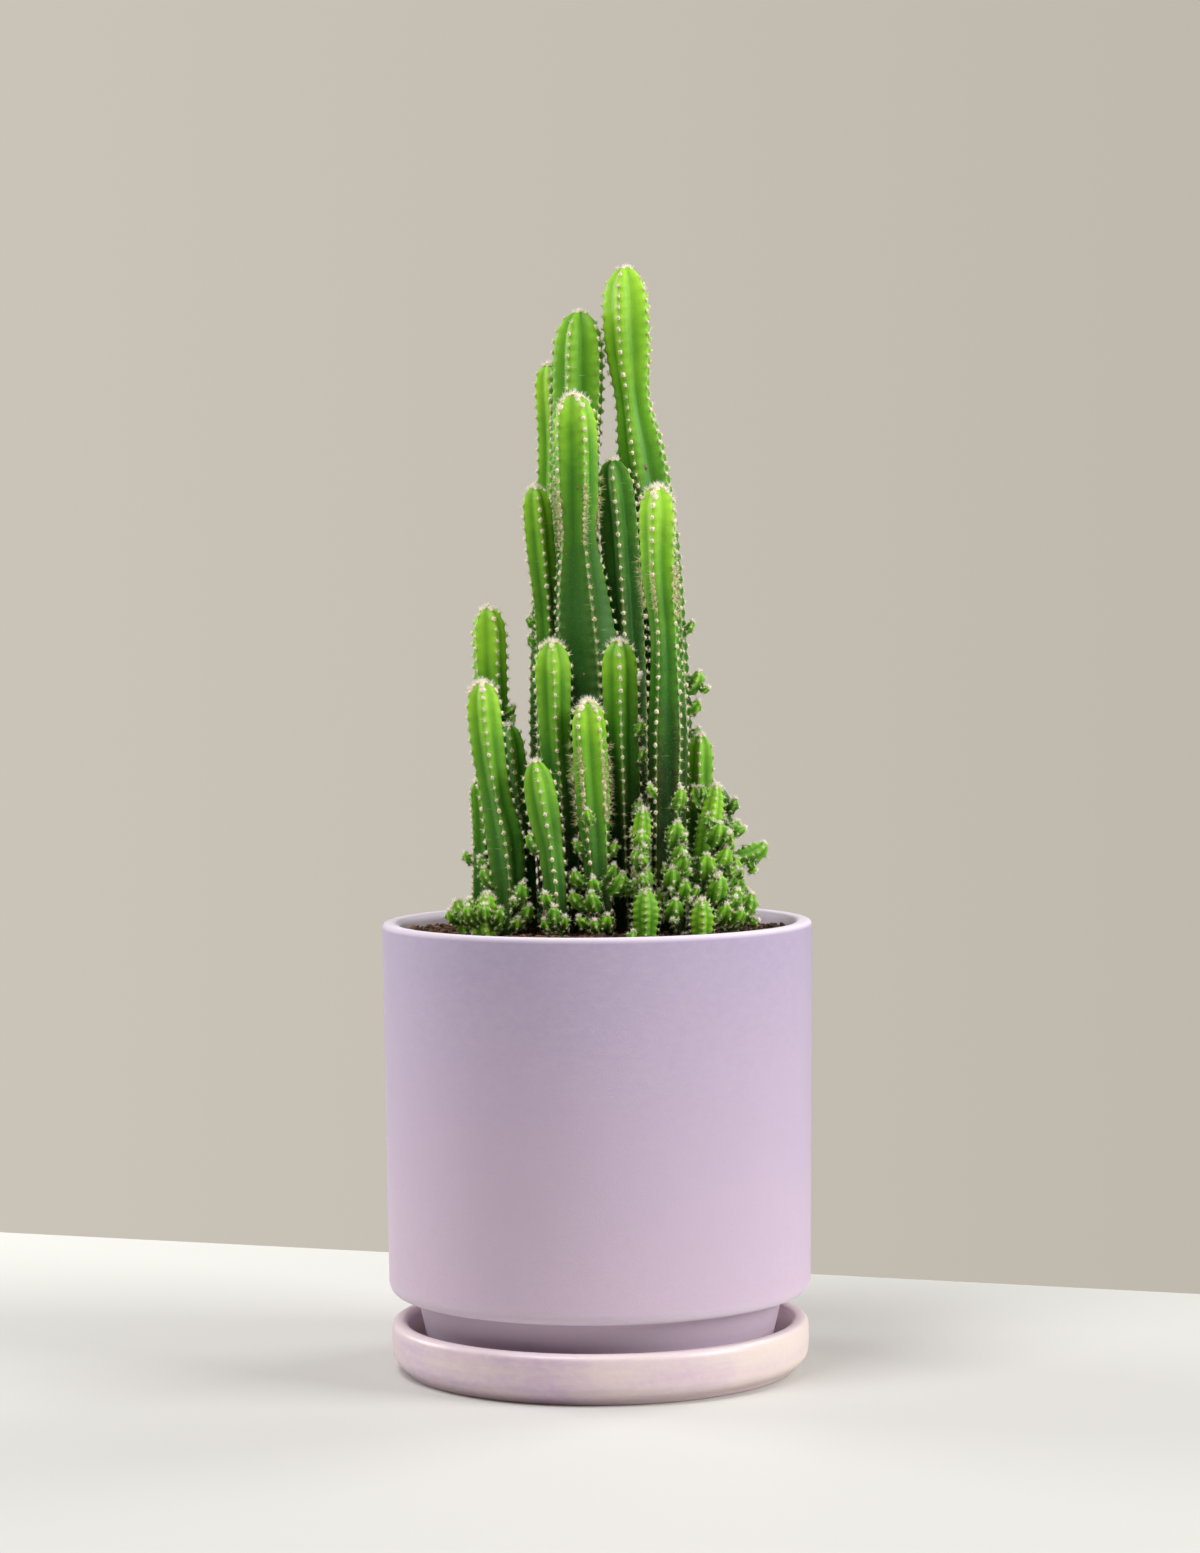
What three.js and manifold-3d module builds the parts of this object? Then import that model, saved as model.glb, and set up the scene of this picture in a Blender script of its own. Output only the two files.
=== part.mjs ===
// A potted fairy castle cactus: a clump of ribbed green columns with small offsets round their feet,
// rooted in dark soil in a matte lilac ceramic pot that stands on its own glazed saucer.
// Millimetres, +Z up. The origin is the middle of the saucer's underside, and the front faces -Y.
import * as THREE from "three";
import { mergeVertices } from "three/addons/utils/BufferGeometryUtils.js";
import Module from "manifold-3d";

const wasm = await Module();
wasm.setup();

// Pot: slip-cast, one wall thickness all over, a full round lip and a stepped-in foot.
const POT_RADIUS = 101.5;
const POT_RADIUS_LOW = 99.9;
const POT_WALL = 8.5;
const POT_TOP = 212.7;
const POT_SHOULDER = 37;
const POT_EDGE = 5;
const POT_NECK_RADIUS = 82;
const POT_FLOOR = 9;
const DRAIN_RADIUS = 7;
const DISH_SIDES = 32;

// Saucer: a low dish with a thick upright rim, its underside hollowed inside a foot ring.
const SAUCER_RADIUS = 99;
const SAUCER_TOP = 24;
const SAUCER_FLOOR = 6.5;
const SAUCER_WALL = 7.8;
const SAUCER_FOOT_OUTER = 92;
const SAUCER_FOOT_INNER = 83;

// Soil: fills the pot to just under the lip.
const SOIL_TOP = 207.5;
const SOIL_ROUGHNESS = 0.5;
const CLEARANCE = 0.3;
const HOLE_CLEARANCE = 0.4;
const HOLE_SIDES = 6;

// Cactus: how a rib runs, and how its areoles stand on it.
const ROOT_LENGTH = 25;
const AREOLE_PITCH = 13;
const AREOLE_HEIGHT = 1.6;
const CROWN_SPINE = 1.2;
const FURROW_RATIO = 0.7;
const FURROW_STEP = 42;
const TIP_LENGTH = 2.1;
const STEM_RIBS = 5;
const PUP_RIBS = 4;
const PUP_PITCH = 8;
const PUP_AREOLE = 1.3;
const PUP_SUNK = 2.5;
const FINEST_EDGE = 0.06;
const UP = new THREE.Vector3(0, 0, 1);
const RADIANS = Math.PI / 180;

// Each stem: its axis from root to tip as [x, y, z, crest radius], the side that one of its ribs faces
// at the foot and at the tip (degrees from the front, positive to the right), and its offsets as
// [height of the root, side it grows on, reach outwards, rise to its tip, radius].
const STEMS = {
  stem_tallest: {
    axis: [
      [36.5, 29, 185, 8], [36.5, 29, 212, 9], [36, 33, 290, 11.5], [33.5, 36, 345, 11.8],
      [30, 36, 395, 11.6], [24, 36, 433, 12], [19.6, 36, 460, 8.9], [17.4, 36, 488, 11.8],
      [16.1, 36, 523, 11.4],
    ],
    ribTurn: [-30, -21],
    pups: [
      [321, 95, 15, 8, 3.8], [310, 98, 14, 5, 3.2], [216, 150, 15, 12, 4], [224, 110, 13, 10, 3.6],
    ],
  },
  stem_back_centre: {
    axis: [
      [-4, 37, 185, 8], [-4, 37, 212, 9], [-6, 42, 300, 11.5], [-8, 42, 380, 12], [-8, 41, 430, 12.2],
      [-6.6, 40, 466, 13], [-6, 39, 502.5, 12.6],
    ],
    ribTurn: [-18, -25],
    pups: [[216, 170, 15, 12, 4.4], [224, 215, 14, 9, 3.8]],
  },
  stem_back_left: {
    axis: [
      [-21, 35, 185, 6], [-21, 35, 212, 7], [-25, 48, 290, 7.4], [-23.5, 55, 370, 7.2],
      [-20.4, 56, 432, 7], [-21.8, 54, 478, 7.2],
    ],
    ribTurn: [10, 3],
    pups: [[215, 178, 14, 11, 4]],
  },
  stem_front_tall: {
    axis: [
      [0, 9, 185, 9], [0, 9, 212, 10], [-1, 12, 280, 14.6], [-4, 13, 330, 16.2], [-6.8, 12, 368, 13],
      [-8, 10, 394, 9.2], [-8.4, 9, 420, 10.8], [-9.2, 8, 461.3, 10.8],
    ],
    ribTurn: [14, 26],
    pups: [],
  },
  stem_mid_left: {
    axis: [
      [-19, 17, 185, 6], [-19, 17, 212, 7], [-22, 25, 290, 7], [-23, 27, 350, 6], [-26, 25, 390, 7.4],
      [-28.2, 23, 418.2, 7.2],
    ],
    ribTurn: [20, 12],
    pups: [],
  },
  stem_dark_centre: {
    axis: [
      [15, 27, 185, 8], [15, 27, 212, 9], [16, 25, 290, 9.6], [15, 24, 345, 9.6], [12, 24, 400, 9.6],
      [9, 24, 430.8, 8.8],
    ],
    ribTurn: [-5, -5],
    pups: [],
  },
  stem_front_right: {
    axis: [
      [33.4, -17, 185, 7], [33.4, -17, 212, 8], [33.6, -18, 255, 8.5], [33.8, -18, 300, 9.5],
      [33, -18, 345, 7], [30.4, -18, 376, 8.3], [29.8, -18, 416.7, 9.6],
    ],
    ribTurn: [-54, -15],
    pups: [
      [268, 30, 12, 8, 2.8], [251, 20, 12, 9.5, 4.2], [243.5, 26, 14, 6.5, 3.8],
      [239, 24, 16.5, 6, 3.7], [232, 8, 15, 7.5, 4], [226, 27, 17, 7.5, 3.8], [217, 10, 18, 8, 4.2],
    ],
  },
  stem_short_left: {
    axis: [
      [-15, -7, 185, 6.5], [-15, -7, 212, 7.5], [-17, -8, 270, 8], [-19.2, -8, 300, 8],
      [-20.2, -8, 344.8, 9.6],
    ],
    ribTurn: [8, 5],
    pups: [],
  },
  stem_short_centre: {
    axis: [
      [14, -9, 185, 6.5], [14, -9, 212, 7.5], [12.8, -10, 260, 8.6], [11.8, -10, 305, 8.6],
      [11.4, -10, 345, 9.2],
    ],
    ribTurn: [6, 0],
    pups: [[301, 70, 10, 6, 2.5], [264, 50, 10.5, 6, 2.6]],
  },
  stem_front_centre: {
    axis: [
      [3.2, -24, 185, 5], [3.2, -24, 212, 5.6], [0.4, -24, 240, 6.6], [-1.4, -23, 272, 8.4],
      [-3.6, -22, 317.2, 8.4],
    ],
    ribTurn: [-18, -36],
    pups: [
      [222, -76, 14, 6, 3], [213, -56, 14, 4, 2.6], [233, -78, 11.5, 5, 2.5], [230, -18, 9.5, 5, 3.1],
      [222, -24, 12, 6.5, 3.3], [213, 8, 12, 5, 3], [246, 80, 9, 5, 2.4], [236, 55, 9, 5, 3],
      [229.5, 62, 12, 7.5, 3.8],
    ],
  },
  stem_outer_left: {
    axis: [
      [-46, 18, 185, 6], [-46, 18, 212, 7], [-48.5, 19, 280, 7.6], [-50, 18, 325, 8.2],
      [-51, 18, 361, 8.6],
    ],
    ribTurn: [-40, -46],
    pups: [[311, 84, 10.5, 3, 2.4], [216, 190, 13, 11, 4], [223, 150, 12, 9, 3.4]],
  },
  stem_left_front: {
    axis: [
      [-40.6, -14, 185, 5.5], [-40.6, -14, 212, 6], [-42.6, -14, 248, 9.2], [-47.2, -14, 273, 7.6],
      [-51, -14, 300, 8.3], [-53, -14, 326.2, 8.1],
    ],
    ribTurn: [6, 0],
    pups: [[231.5, -80, 11.5, 7.5, 3], [223, 28, 13.5, 9, 3.4], [216, 35, 16, 6, 3]],
  },
  stem_behind_left: {
    axis: [
      [-34, 4, 185, 5], [-34, 4, 212, 6], [-35.5, 5, 255, 6.4], [-38.5, 5, 285, 6.4], [-41, 5, 305.3, 5.6],
    ],
    ribTurn: [0, 0],
    pups: [],
  },
  stem_low_left: {
    axis: [
      [-18.6, -26, 185, 4.4], [-18.6, -26, 212, 5], [-21, -26, 243, 6], [-25, -25, 268, 8],
      [-28.4, -25, 289.2, 6.6],
    ],
    ribTurn: [10, 3],
    pups: [[248.5, -85, 9, 7, 3], [223, -32, 9, 5, 3], [214, -8, 10, 8, 3], [213, 22, 10, 4, 2.4]],
  },
  stem_far_left: {
    axis: [[-55, 4, 185, 4], [-55, 4, 212, 4.8], [-54.2, 4, 250, 5], [-56.2, 5, 278.8, 4.6]],
    ribTurn: [20, 20],
    pups: [[215, 215, 10, 7, 3]],
  },
  stem_small_right: {
    axis: [[50, 5, 185, 5], [50, 5, 212, 6], [48.6, 5, 255, 6.8], [49.6, 5, 299.8, 6.6]],
    ribTurn: [0, -4],
    pups: [[229, 120, 10, 6, 3]],
  },
  stem_stub_right: {
    axis: [[61, 17, 185, 4], [61, 17, 212, 4.8], [60.5, 16, 250, 4.8], [58.6, 16, 274.6, 4.4]],
    ribTurn: [10, 10],
    pups: [],
  },
  stem_rear_right: {
    axis: [[20, 46, 185, 6], [20, 46, 212, 7], [21, 48, 245, 8], [22, 49, 284, 7.6]],
    ribTurn: [0, 8],
    pups: [[215, 180, 15, 11, 4.2], [225, 140, 13, 9, 3.8], [220, 218, 14, 8, 3.6]],
  },
  stem_rear_left: {
    axis: [[-36, 38, 185, 5.5], [-36, 38, 212, 6.4], [-38, 39, 240, 7], [-39, 39, 268, 6.4]],
    ribTurn: [15, 4],
    pups: [[215, 190, 14, 11, 4], [223, 235, 12, 8, 3.4], [216, 150, 12, 8, 3.4]],
  },
  pups_centre: {
    axis: [[20.5, -24, 185, 3.6], [20.5, -24, 212, 4], [20.6, -25, 240, 4], [21.8, -26, 267, 5]],
    ribTurn: [0, 0],
    pups: [[251, 0, 6.5, 5, 4], [242, -8, 8, 6, 3.9], [231.5, 18, 8, 7.5, 3.8]],
  },
  pup_front: {
    axis: [[22.6, -36, 185, 5], [22.6, -36, 212, 6.2], [22.8, -36, 230.2, 5.6]],
    ribTurn: [0, 0],
    pups: [],
  },
  pup_front_right: {
    axis: [[48.6, -34, 185, 4.6], [48.6, -34, 211, 5.6], [48.8, -35, 225, 5.6]],
    ribTurn: [5, 5],
    pups: [],
  },
  pups_right: {
    axis: [[50.5, -12, 185, 6], [50.5, -12, 212, 7], [51.5, -13, 246, 6.6], [56.5, -11, 277, 4.6]],
    ribTurn: [10, 10],
    pups: [
      [252, 28, 12, 7.5, 4.3], [249, 78, 10.5, 6, 3.6], [241, 48, 13, 6.5, 4.1],
      [236, 2, 15, 9, 4.3], [225, 22, 17, 11, 4.3], [254, 118, 16, 5, 3.6], [243, 100, 28, 6, 4.2],
      [221, 60, 18, 7, 4.1], [213, 87, 22, 12.5, 3.6],
    ],
  },
  pups_left: {
    axis: [[-52, -23, 185, 4.6], [-52, -23, 211, 5.6], [-51, -24, 228, 5.6]],
    ribTurn: [0, 0],
    pups: [[215, -62, 9.5, 7, 2.8], [215, 50, 9, 6, 2.6], [217, -5, 8.5, 6, 2.8]],
  },
  pups_far_left: {
    axis: [[-62, -9, 185, 3.4], [-62, -9, 211, 4], [-66, -10, 223.5, 4.2]],
    ribTurn: [0, 0],
    pups: [[215, 20, 8, 7, 3], [214, -60, 8, 4, 2.6]],
  },
};

// Colours of the flesh: bright young stems, plain green ones, and old stems that have greyed.
const YOUNG = { color: 0x6fae2e, roughness: 0.5 };
const GREEN = { color: 0x4c9a35, roughness: 0.5 };
const OLD = { color: 0x3f8048, roughness: 0.55 };
const AGE = {
  stem_front_tall: OLD,
  stem_dark_centre: OLD,
  stem_behind_left: OLD,
  stem_stub_right: OLD,
  stem_rear_left: OLD,
  stem_front_centre: YOUNG,
  stem_outer_left: YOUNG,
  pups_centre: YOUNG,
  pup_front: YOUNG,
  pup_front_right: YOUNG,
  pups_right: YOUNG,
  pups_left: YOUNG,
  pups_far_left: YOUNG,
};

// Turns a geometry into a solid, with the vertices that its faces share merged.
function solid(geometry) {
  const bare = geometry.clone();
  bare.deleteAttribute("normal");
  bare.deleteAttribute("uv");
  const merged = mergeVertices(bare, 1e-4);
  return new wasm.Manifold(
    new wasm.Mesh({
      numProp: 3,
      vertProperties: new Float32Array(merged.attributes.position.array),
      triVerts: new Uint32Array(merged.index.array),
    }),
  );
}

// Turns a solid back into a geometry, keeping only its largest body, without the slivers that joins leave.
function geometryOf(body) {
  const bodies = body.simplify(FINEST_EDGE).decompose();
  const largest = bodies.reduce((a, b) => (a.volume() > b.volume() ? a : b));
  const mesh = largest.getMesh();
  return new THREE.BufferGeometry()
    .setAttribute("position", new THREE.BufferAttribute(mesh.vertProperties, 3))
    .setIndex(new THREE.BufferAttribute(mesh.triVerts, 1));
}

function part(name, geometry, finish) {
  const flat = geometry.index ? geometry.toNonIndexed() : geometry;
  flat.computeVertexNormals();
  const mesh = new THREE.Mesh(flat, new THREE.MeshStandardMaterial({ metalness: 0, ...finish }));
  mesh.name = name;
  return mesh;
}

// Points of an arc in the [radius, height] plane, angles in degrees from the outward direction.
function arc(radius, height, r, from, to, steps) {
  return Array.from({ length: steps + 1 }, (_, i) => {
    const angle = (from + ((to - from) * i) / steps) * RADIANS;
    return [radius + r * Math.cos(angle), height + r * Math.sin(angle)];
  });
}

// A turned piece: the profile is spun about +Z.
function turned(profile, sides) {
  const points = profile.map(([r, z]) => new THREE.Vector2(r, z));
  return new THREE.LatheGeometry(points, sides).rotateX(Math.PI / 2);
}

// The pot's inside runs a wall thickness behind its outside, down into the foot.
const POT_INNER = POT_RADIUS - POT_WALL;
const NECK_INNER = POT_NECK_RADIUS - POT_WALL;
const SHOULDER_INNER = POT_SHOULDER + POT_WALL;
const INNER_FLOOR = POT_FLOOR + POT_WALL;

function pot() {
  const lip = POT_WALL / 2;
  const profile = [
    [DRAIN_RADIUS, POT_FLOOR],
    [NECK_INNER - 1, POT_FLOOR],
    [NECK_INNER, SAUCER_FLOOR],
    [POT_NECK_RADIUS - 1.5, SAUCER_FLOOR],
    [POT_NECK_RADIUS, SAUCER_FLOOR + 1.5],
    [POT_NECK_RADIUS, POT_SHOULDER],
    ...arc(POT_RADIUS_LOW - POT_EDGE, POT_SHOULDER + POT_EDGE, POT_EDGE, -90, 0, 2),
    ...arc(POT_RADIUS - lip, POT_TOP - lip, lip, 0, 180, 4),
    [POT_INNER - 1.3, SHOULDER_INNER + 4],
    [POT_INNER - 5, SHOULDER_INNER],
    [NECK_INNER, SHOULDER_INNER],
    [NECK_INNER, INNER_FLOOR],
    [DRAIN_RADIUS, INNER_FLOOR],
    [DRAIN_RADIUS, POT_FLOOR],
  ];
  return part("pot", turned(profile, DISH_SIDES), { color: 0xb9a6c0, roughness: 0.8 });
}

function saucer() {
  const inner = SAUCER_RADIUS - SAUCER_WALL;
  const profile = [
    [0, 1.5],
    [SAUCER_FOOT_INNER - 1, 1.5],
    [SAUCER_FOOT_INNER, 0],
    [SAUCER_FOOT_OUTER, 0],
    [SAUCER_FOOT_OUTER + 3.3, 3.4],
    [SAUCER_RADIUS - 1, 8],
    [SAUCER_RADIUS, 13],
    ...arc(SAUCER_RADIUS - 4, SAUCER_TOP - 4, 4, 0, 90, 2),
    ...arc(inner + 1.6, SAUCER_TOP - 1.6, 1.6, 90, 180, 1),
    [inner - 2.4, SAUCER_FLOOR + 4],
    [inner - 5, SAUCER_FLOOR],
    [0, SAUCER_FLOOR],
  ];
  return part("saucer", turned(profile, DISH_SIDES), { color: 0xcdb9cb, roughness: 0.35 });
}

// The line that a stem's axis and crest radius follow, from its root to its tip.
function growth(axis) {
  const curve = (pick) =>
    new THREE.CatmullRomCurve3(axis.map(pick), false, "catmullrom", 0.5);
  const centre = curve(([x, y, z]) => new THREE.Vector3(x, y, z));
  const girth = curve((section) => new THREE.Vector3(section[3], 0, 0));
  const length = centre.getLength();
  const tipLength = TIP_LENGTH * axis[axis.length - 1][3];
  // Point at `along` (0 root, 1 tip), on the side `turn`, at `share` of the crest radius plus `raise`.
  const surface = (along, turn, share, raise) => {
    const t = centre.getUtoTmapping(along);
    const near = Math.max(0, 1 - ((1 - along) * length) / tipLength);
    const radius = girth.getPoint(t).x * Math.sqrt(1 - near * near) * share + raise;
    const lean = new THREE.Quaternion().setFromUnitVectors(UP, centre.getTangent(t));
    return new THREE.Vector3(Math.sin(turn), -Math.cos(turn), 0)
      .multiplyScalar(radius)
      .applyQuaternion(lean)
      .add(centre.getPoint(t));
  };
  return { centre, length, tipLength, surface };
}

// Fills the strip between two lines of [along, vertex], taking the shorter diagonal step each time.
function strip(left, right, faces) {
  let i = 0;
  let j = 0;
  while (i < left.length - 1 || j < right.length - 1) {
    const nextLeft = i < left.length - 1 ? left[i + 1][0] : Infinity;
    const nextRight = j < right.length - 1 ? right[j + 1][0] : Infinity;
    const climbRight = nextRight <= nextLeft;
    const third = climbRight ? right[j + 1][1] : left[i + 1][1];
    const corners = [left[i][1], right[j][1], third];
    if (new Set(corners).size === 3) faces.push(...corners);
    if (climbRight) j += 1;
    else i += 1;
  }
}

// A ribbed body: sharp crests with an areole raised at every pitch, alternating from rib to rib,
// and plain furrows between them. Its foot is flat and its tip is a dome.
function ribbed({ axis, ribTurn, ribs, pitch, areole, bare }) {
  const { length, tipLength, surface } = growth(axis);
  const vertices = [];
  const vertex = (point) => vertices.push(...point.toArray()) / 3 - 1;
  const apex = vertex(surface(1, 0, 0, 0));
  const foot = vertex(surface(0, 0, 0, 0));
  const start = bare / length;
  const steps = 2 * Math.max(2, Math.round((length - bare) / pitch));
  const turnAt = (along, side) =>
    (ribTurn[0] + (ribTurn[1] - ribTurn[0]) * along + (360 * side) / ribs) * RADIANS;
  const line = (places, side, share, raise) =>
    places.map((along, i) => [along, vertex(surface(along, turnAt(along, side), share, raise(i)))]);

  const crestPlaces = Array.from({ length: steps }, (_, i) => start + ((1 - start) * i) / steps);
  if (bare > 0) crestPlaces.unshift(0);
  const plain = 1 - tipLength / length;
  const bays = Math.round((plain * length) / FURROW_STEP);
  const furrowPlaces = [0];
  for (let bay = 1; bay <= bays; bay += 1) furrowPlaces.push((plain * bay) / bays);
  furrowPlaces.push(1 - (tipLength / length) * 0.45);

  const lines = [];
  for (let rib = 0; rib < ribs; rib += 1) {
    const raise = (i) => {
      if (i < 2) return 0;
      if (i === crestPlaces.length - 1) return CROWN_SPINE;
      return areole * ((i + rib) % 2 ? 0.4 : -0.6);
    };
    lines.push([...line(crestPlaces, rib, 1, raise), [1, apex]]);
    lines.push([...line(furrowPlaces, rib + 0.5, FURROW_RATIO, () => 0), [1, apex]]);
  }
  const faces = [];
  lines.forEach((left, i) => {
    const right = lines[(i + 1) % lines.length];
    strip(left, right, faces);
    faces.push(foot, right[0][1], left[0][1]);
  });
  return new THREE.BufferGeometry()
    .setAttribute("position", new THREE.Float32BufferAttribute(vertices, 3))
    .setIndex(faces);
}

// An offset: its root is sunk in the stem, and it leaves it sideways and bends up to its own tip.
function pup(stem, [height, side, reach, rise, radius], index) {
  const { centre } = growth(stem.axis);
  const base = stem.axis[0][2];
  const top = stem.axis[stem.axis.length - 1][2];
  const root = centre.getPointAt((height - base) / (top - base));
  const step = (out, up, share) => [
    root.x + reach * out * Math.sin(side * RADIANS),
    root.y - reach * out * Math.cos(side * RADIANS),
    root.z + rise * up,
    radius * share,
  ];
  return {
    axis: [step(PUP_SUNK / reach, 0, 0.55), step(0.8, 0.3, 1), step(1, 1, 0.95)],
    ribTurn: [index * 37, index * 37],
    ribs: PUP_RIBS,
    pitch: PUP_PITCH,
    areole: PUP_AREOLE,
    bare: 0,
  };
}

function stem(name, plan) {
  const habit = { ribs: STEM_RIBS, pitch: AREOLE_PITCH, areole: AREOLE_HEIGHT, bare: ROOT_LENGTH };
  const pieces = [ribbed({ ...plan, ...habit })];
  plan.pups.forEach((row, index) => pieces.push(ribbed(pup(plan, row, index))));
  const body = pieces.map(solid).reduce((whole, piece) => whole.add(piece));
  return part(name, geometryOf(body), AGE[name] ?? GREEN);
}

// The soil: a plug that fits the pot's inside, its top slightly uneven, with a plain hole for each stem.
function soil() {
  const wide = POT_INNER - 1.3 - CLEARANCE;
  const narrow = NECK_INNER - CLEARANCE;
  const block = turned(
    [
      [0, INNER_FLOOR + CLEARANCE],
      [narrow, INNER_FLOOR + CLEARANCE],
      [narrow, SHOULDER_INNER + CLEARANCE],
      [wide - 4, SHOULDER_INNER + CLEARANCE],
      [wide, SOIL_TOP],
      [wide * 0.7, SOIL_TOP],
      [0, SOIL_TOP],
    ],
    DISH_SIDES,
  );
  const place = block.getAttribute("position");
  for (let i = 0; i < place.count; i += 1) {
    const x = place.getX(i);
    const y = place.getY(i);
    const swell = Math.sin(x * 0.21 + 1) * Math.cos(y * 0.17) - 0.4 * Math.cos(x * 0.08 - y * 0.11);
    if (place.getZ(i) > SOIL_TOP - 1) place.setZ(i, SOIL_TOP + SOIL_ROUGHNESS * swell);
  }
  let body = solid(block);
  for (const { axis } of Object.values(STEMS)) {
    const [x, y, z] = axis[0];
    const radius = (Math.max(axis[0][3], axis[1][3]) + HOLE_CLEARANCE) / Math.cos(Math.PI / HOLE_SIDES);
    const depth = SOIL_TOP - z + 10;
    const hole = new THREE.CylinderGeometry(radius, radius, depth, HOLE_SIDES)
      .rotateX(Math.PI / 2)
      .translate(x, y, z - CLEARANCE + depth / 2);
    body = body.subtract(solid(hole));
  }
  return part("soil", geometryOf(body), { color: 0x3a281c, roughness: 1 });
}

const plant = new THREE.Group();
plant.add(saucer(), pot(), soil());
for (const [name, plan] of Object.entries(STEMS)) plant.add(stem(name, plan));

export default plant;
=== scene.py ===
"""A potted fairy castle cactus: ribbed green columns with offsets, in a matte lilac pot on its saucer.

Lengths are worked out in millimetres and put into the meshes in metres. +Z is up and the front faces -Y.
"""

import math

import bpy
import numpy as np
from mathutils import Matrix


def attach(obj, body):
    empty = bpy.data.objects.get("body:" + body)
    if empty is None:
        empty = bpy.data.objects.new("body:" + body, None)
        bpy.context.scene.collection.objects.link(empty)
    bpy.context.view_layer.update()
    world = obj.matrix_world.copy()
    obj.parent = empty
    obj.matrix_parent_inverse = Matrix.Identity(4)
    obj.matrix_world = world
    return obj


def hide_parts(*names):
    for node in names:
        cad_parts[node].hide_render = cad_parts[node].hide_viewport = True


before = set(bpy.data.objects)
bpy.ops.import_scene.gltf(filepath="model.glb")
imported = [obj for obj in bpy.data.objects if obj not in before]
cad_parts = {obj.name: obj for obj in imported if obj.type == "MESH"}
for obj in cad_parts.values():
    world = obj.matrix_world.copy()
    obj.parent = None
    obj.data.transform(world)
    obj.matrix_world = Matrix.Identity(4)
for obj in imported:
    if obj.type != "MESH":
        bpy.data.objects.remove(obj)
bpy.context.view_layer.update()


# Saucer: a slip-cast dish with a thick upright rim and a foot ring underneath. Its semi-gloss glaze was
# brushed on as it turned, so pale beige-pink bands lie over the lilac and thin out on the edges. The
# pale top of the rim is partly a painted highlight, and the foot is painted darker as shade.

MM = 0.001
SAUCER_OUTSIDE = 99.0
SAUCER_HEIGHT = 24.0
SAUCER_FLOOR = 6.5
SAUCER_RIM = 7.8
FOOT_RING = (83.0, 92.0)
TURNED_STEPS = 160


def rounded(corners, reach, steps):
    """Profile through `corners`, each inner one cut back by its `reach` (or half an edge) and rounded.

    Between the two cut points the curve is the quadratic (1-t)^2 A + 2t(1-t) corner + t^2 B.
    """
    corners = np.asarray(corners, float)
    t = np.linspace(0, 1, steps)[:, None]
    line = [corners[:1]]
    for before, corner, after, cut in zip(corners, corners[1:], corners[2:], reach[1:]):
        back = before - corner
        ahead = after - corner
        start = corner + back * min(0.5, cut / max(np.hypot(*back), 1e-6))
        end = corner + ahead * min(0.5, cut / max(np.hypot(*ahead), 1e-6))
        line.append((1 - t) ** 2 * start + 2 * t * (1 - t) * corner + t ** 2 * end)
    line.append(corners[-1:])
    return np.vstack(line)


def into_mesh(name, points, fours, threes=(), marks=None):
    """Puts points (n, 3) in millimetres and faces of four and three corners into one smooth object.

    `marks` holds one array of numbers per point for each name, kept as an attribute for the material.
    """
    mesh = bpy.data.meshes.new(name)
    faces = [*np.asarray(fours).tolist(), *np.asarray(threes).tolist()]
    mesh.from_pydata(np.asarray(points) * MM, [], faces)
    mesh.validate()
    mesh.shade_smooth()
    for mark, values in (marks or {}).items():
        layer = mesh.attributes.new(mark, "FLOAT", "POINT")
        layer.data.foreach_set("value", np.asarray(values, np.float32))
    piece = bpy.data.objects.new(name, mesh)
    bpy.context.scene.collection.objects.link(piece)
    return piece


def stacked(*parts):
    """Arrays side by side, as the coordinates of points or the corners of faces, one to a row."""
    return np.stack(np.broadcast_arrays(*parts), -1).reshape(-1, len(parts))


def turned(name, profile, wobble):
    """Spins a closed profile of (radius, height) about +Z: x = r cos a, y = r sin a, z = height.

    A profile that starts and ends on the axis is closed by a fan at each end, any other by its own last
    edge. Hand work shows as a swell of `wobble` millimetres in radius, two and three times round.
    """
    angle = np.linspace(0, 2 * np.pi, TURNED_STEPS, endpoint=False)[:, None]
    on_axis = profile[0, 0] < 1e-6
    reach, height = (profile[1:-1] if on_axis else profile).T
    swell = wobble * (np.sin(2 * angle + 0.7) + 0.6 * np.sin(3 * angle + height * 0.02))
    radius = reach + swell * np.clip(reach / 60, 0, 1)
    points = stacked(radius * np.cos(angle), radius * np.sin(angle), height)
    count = len(reach)
    near = np.arange(TURNED_STEPS)[:, None] * count
    far = (np.arange(TURNED_STEPS)[:, None] + 1) % TURNED_STEPS * count
    low = np.arange(count - 1 if on_axis else count)
    high = (low + 1) % count
    threes = []
    if on_axis:
        foot = len(points)
        points = np.vstack([points, [[0, 0, profile[0, 1]], [0, 0, profile[-1, 1]]]])
        last = count - 1
        threes = np.vstack([stacked(foot, far, near), stacked(near + last, far + last, foot + 1)])
    return into_mesh(name, points, stacked(near + low, far + low, far + high, near + high), threes)


def socket(node, name, value):
    """Sets an input of a node, or joins another node's output to it."""
    if isinstance(value, bpy.types.NodeSocket):
        node.id_data.links.new(value, node.inputs[name])
    else:
        node.inputs[name].default_value = value


def feed(node, **inputs):
    """Sets or joins several inputs. Names with an underscore stand for spaces in an input's name."""
    for name, value in inputs.items():
        socket(node, name.replace("_", " "), value)
    return node


def add(beside, kind, **inputs):
    """Adds a node to the material that the node or socket `beside` belongs to."""
    return feed(beside.id_data.nodes.new(kind), **inputs)


def finish_of(name, roughness=0.5):
    """A new material with a bare principled surface of that roughness, and its object coordinates."""
    material = bpy.data.materials.new(name)
    material.use_nodes = True
    surface = feed(material.node_tree.nodes["Principled BSDF"], Roughness=roughness)
    return material, surface, add(surface, "ShaderNodeTexCoord").outputs["Object"]


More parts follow.
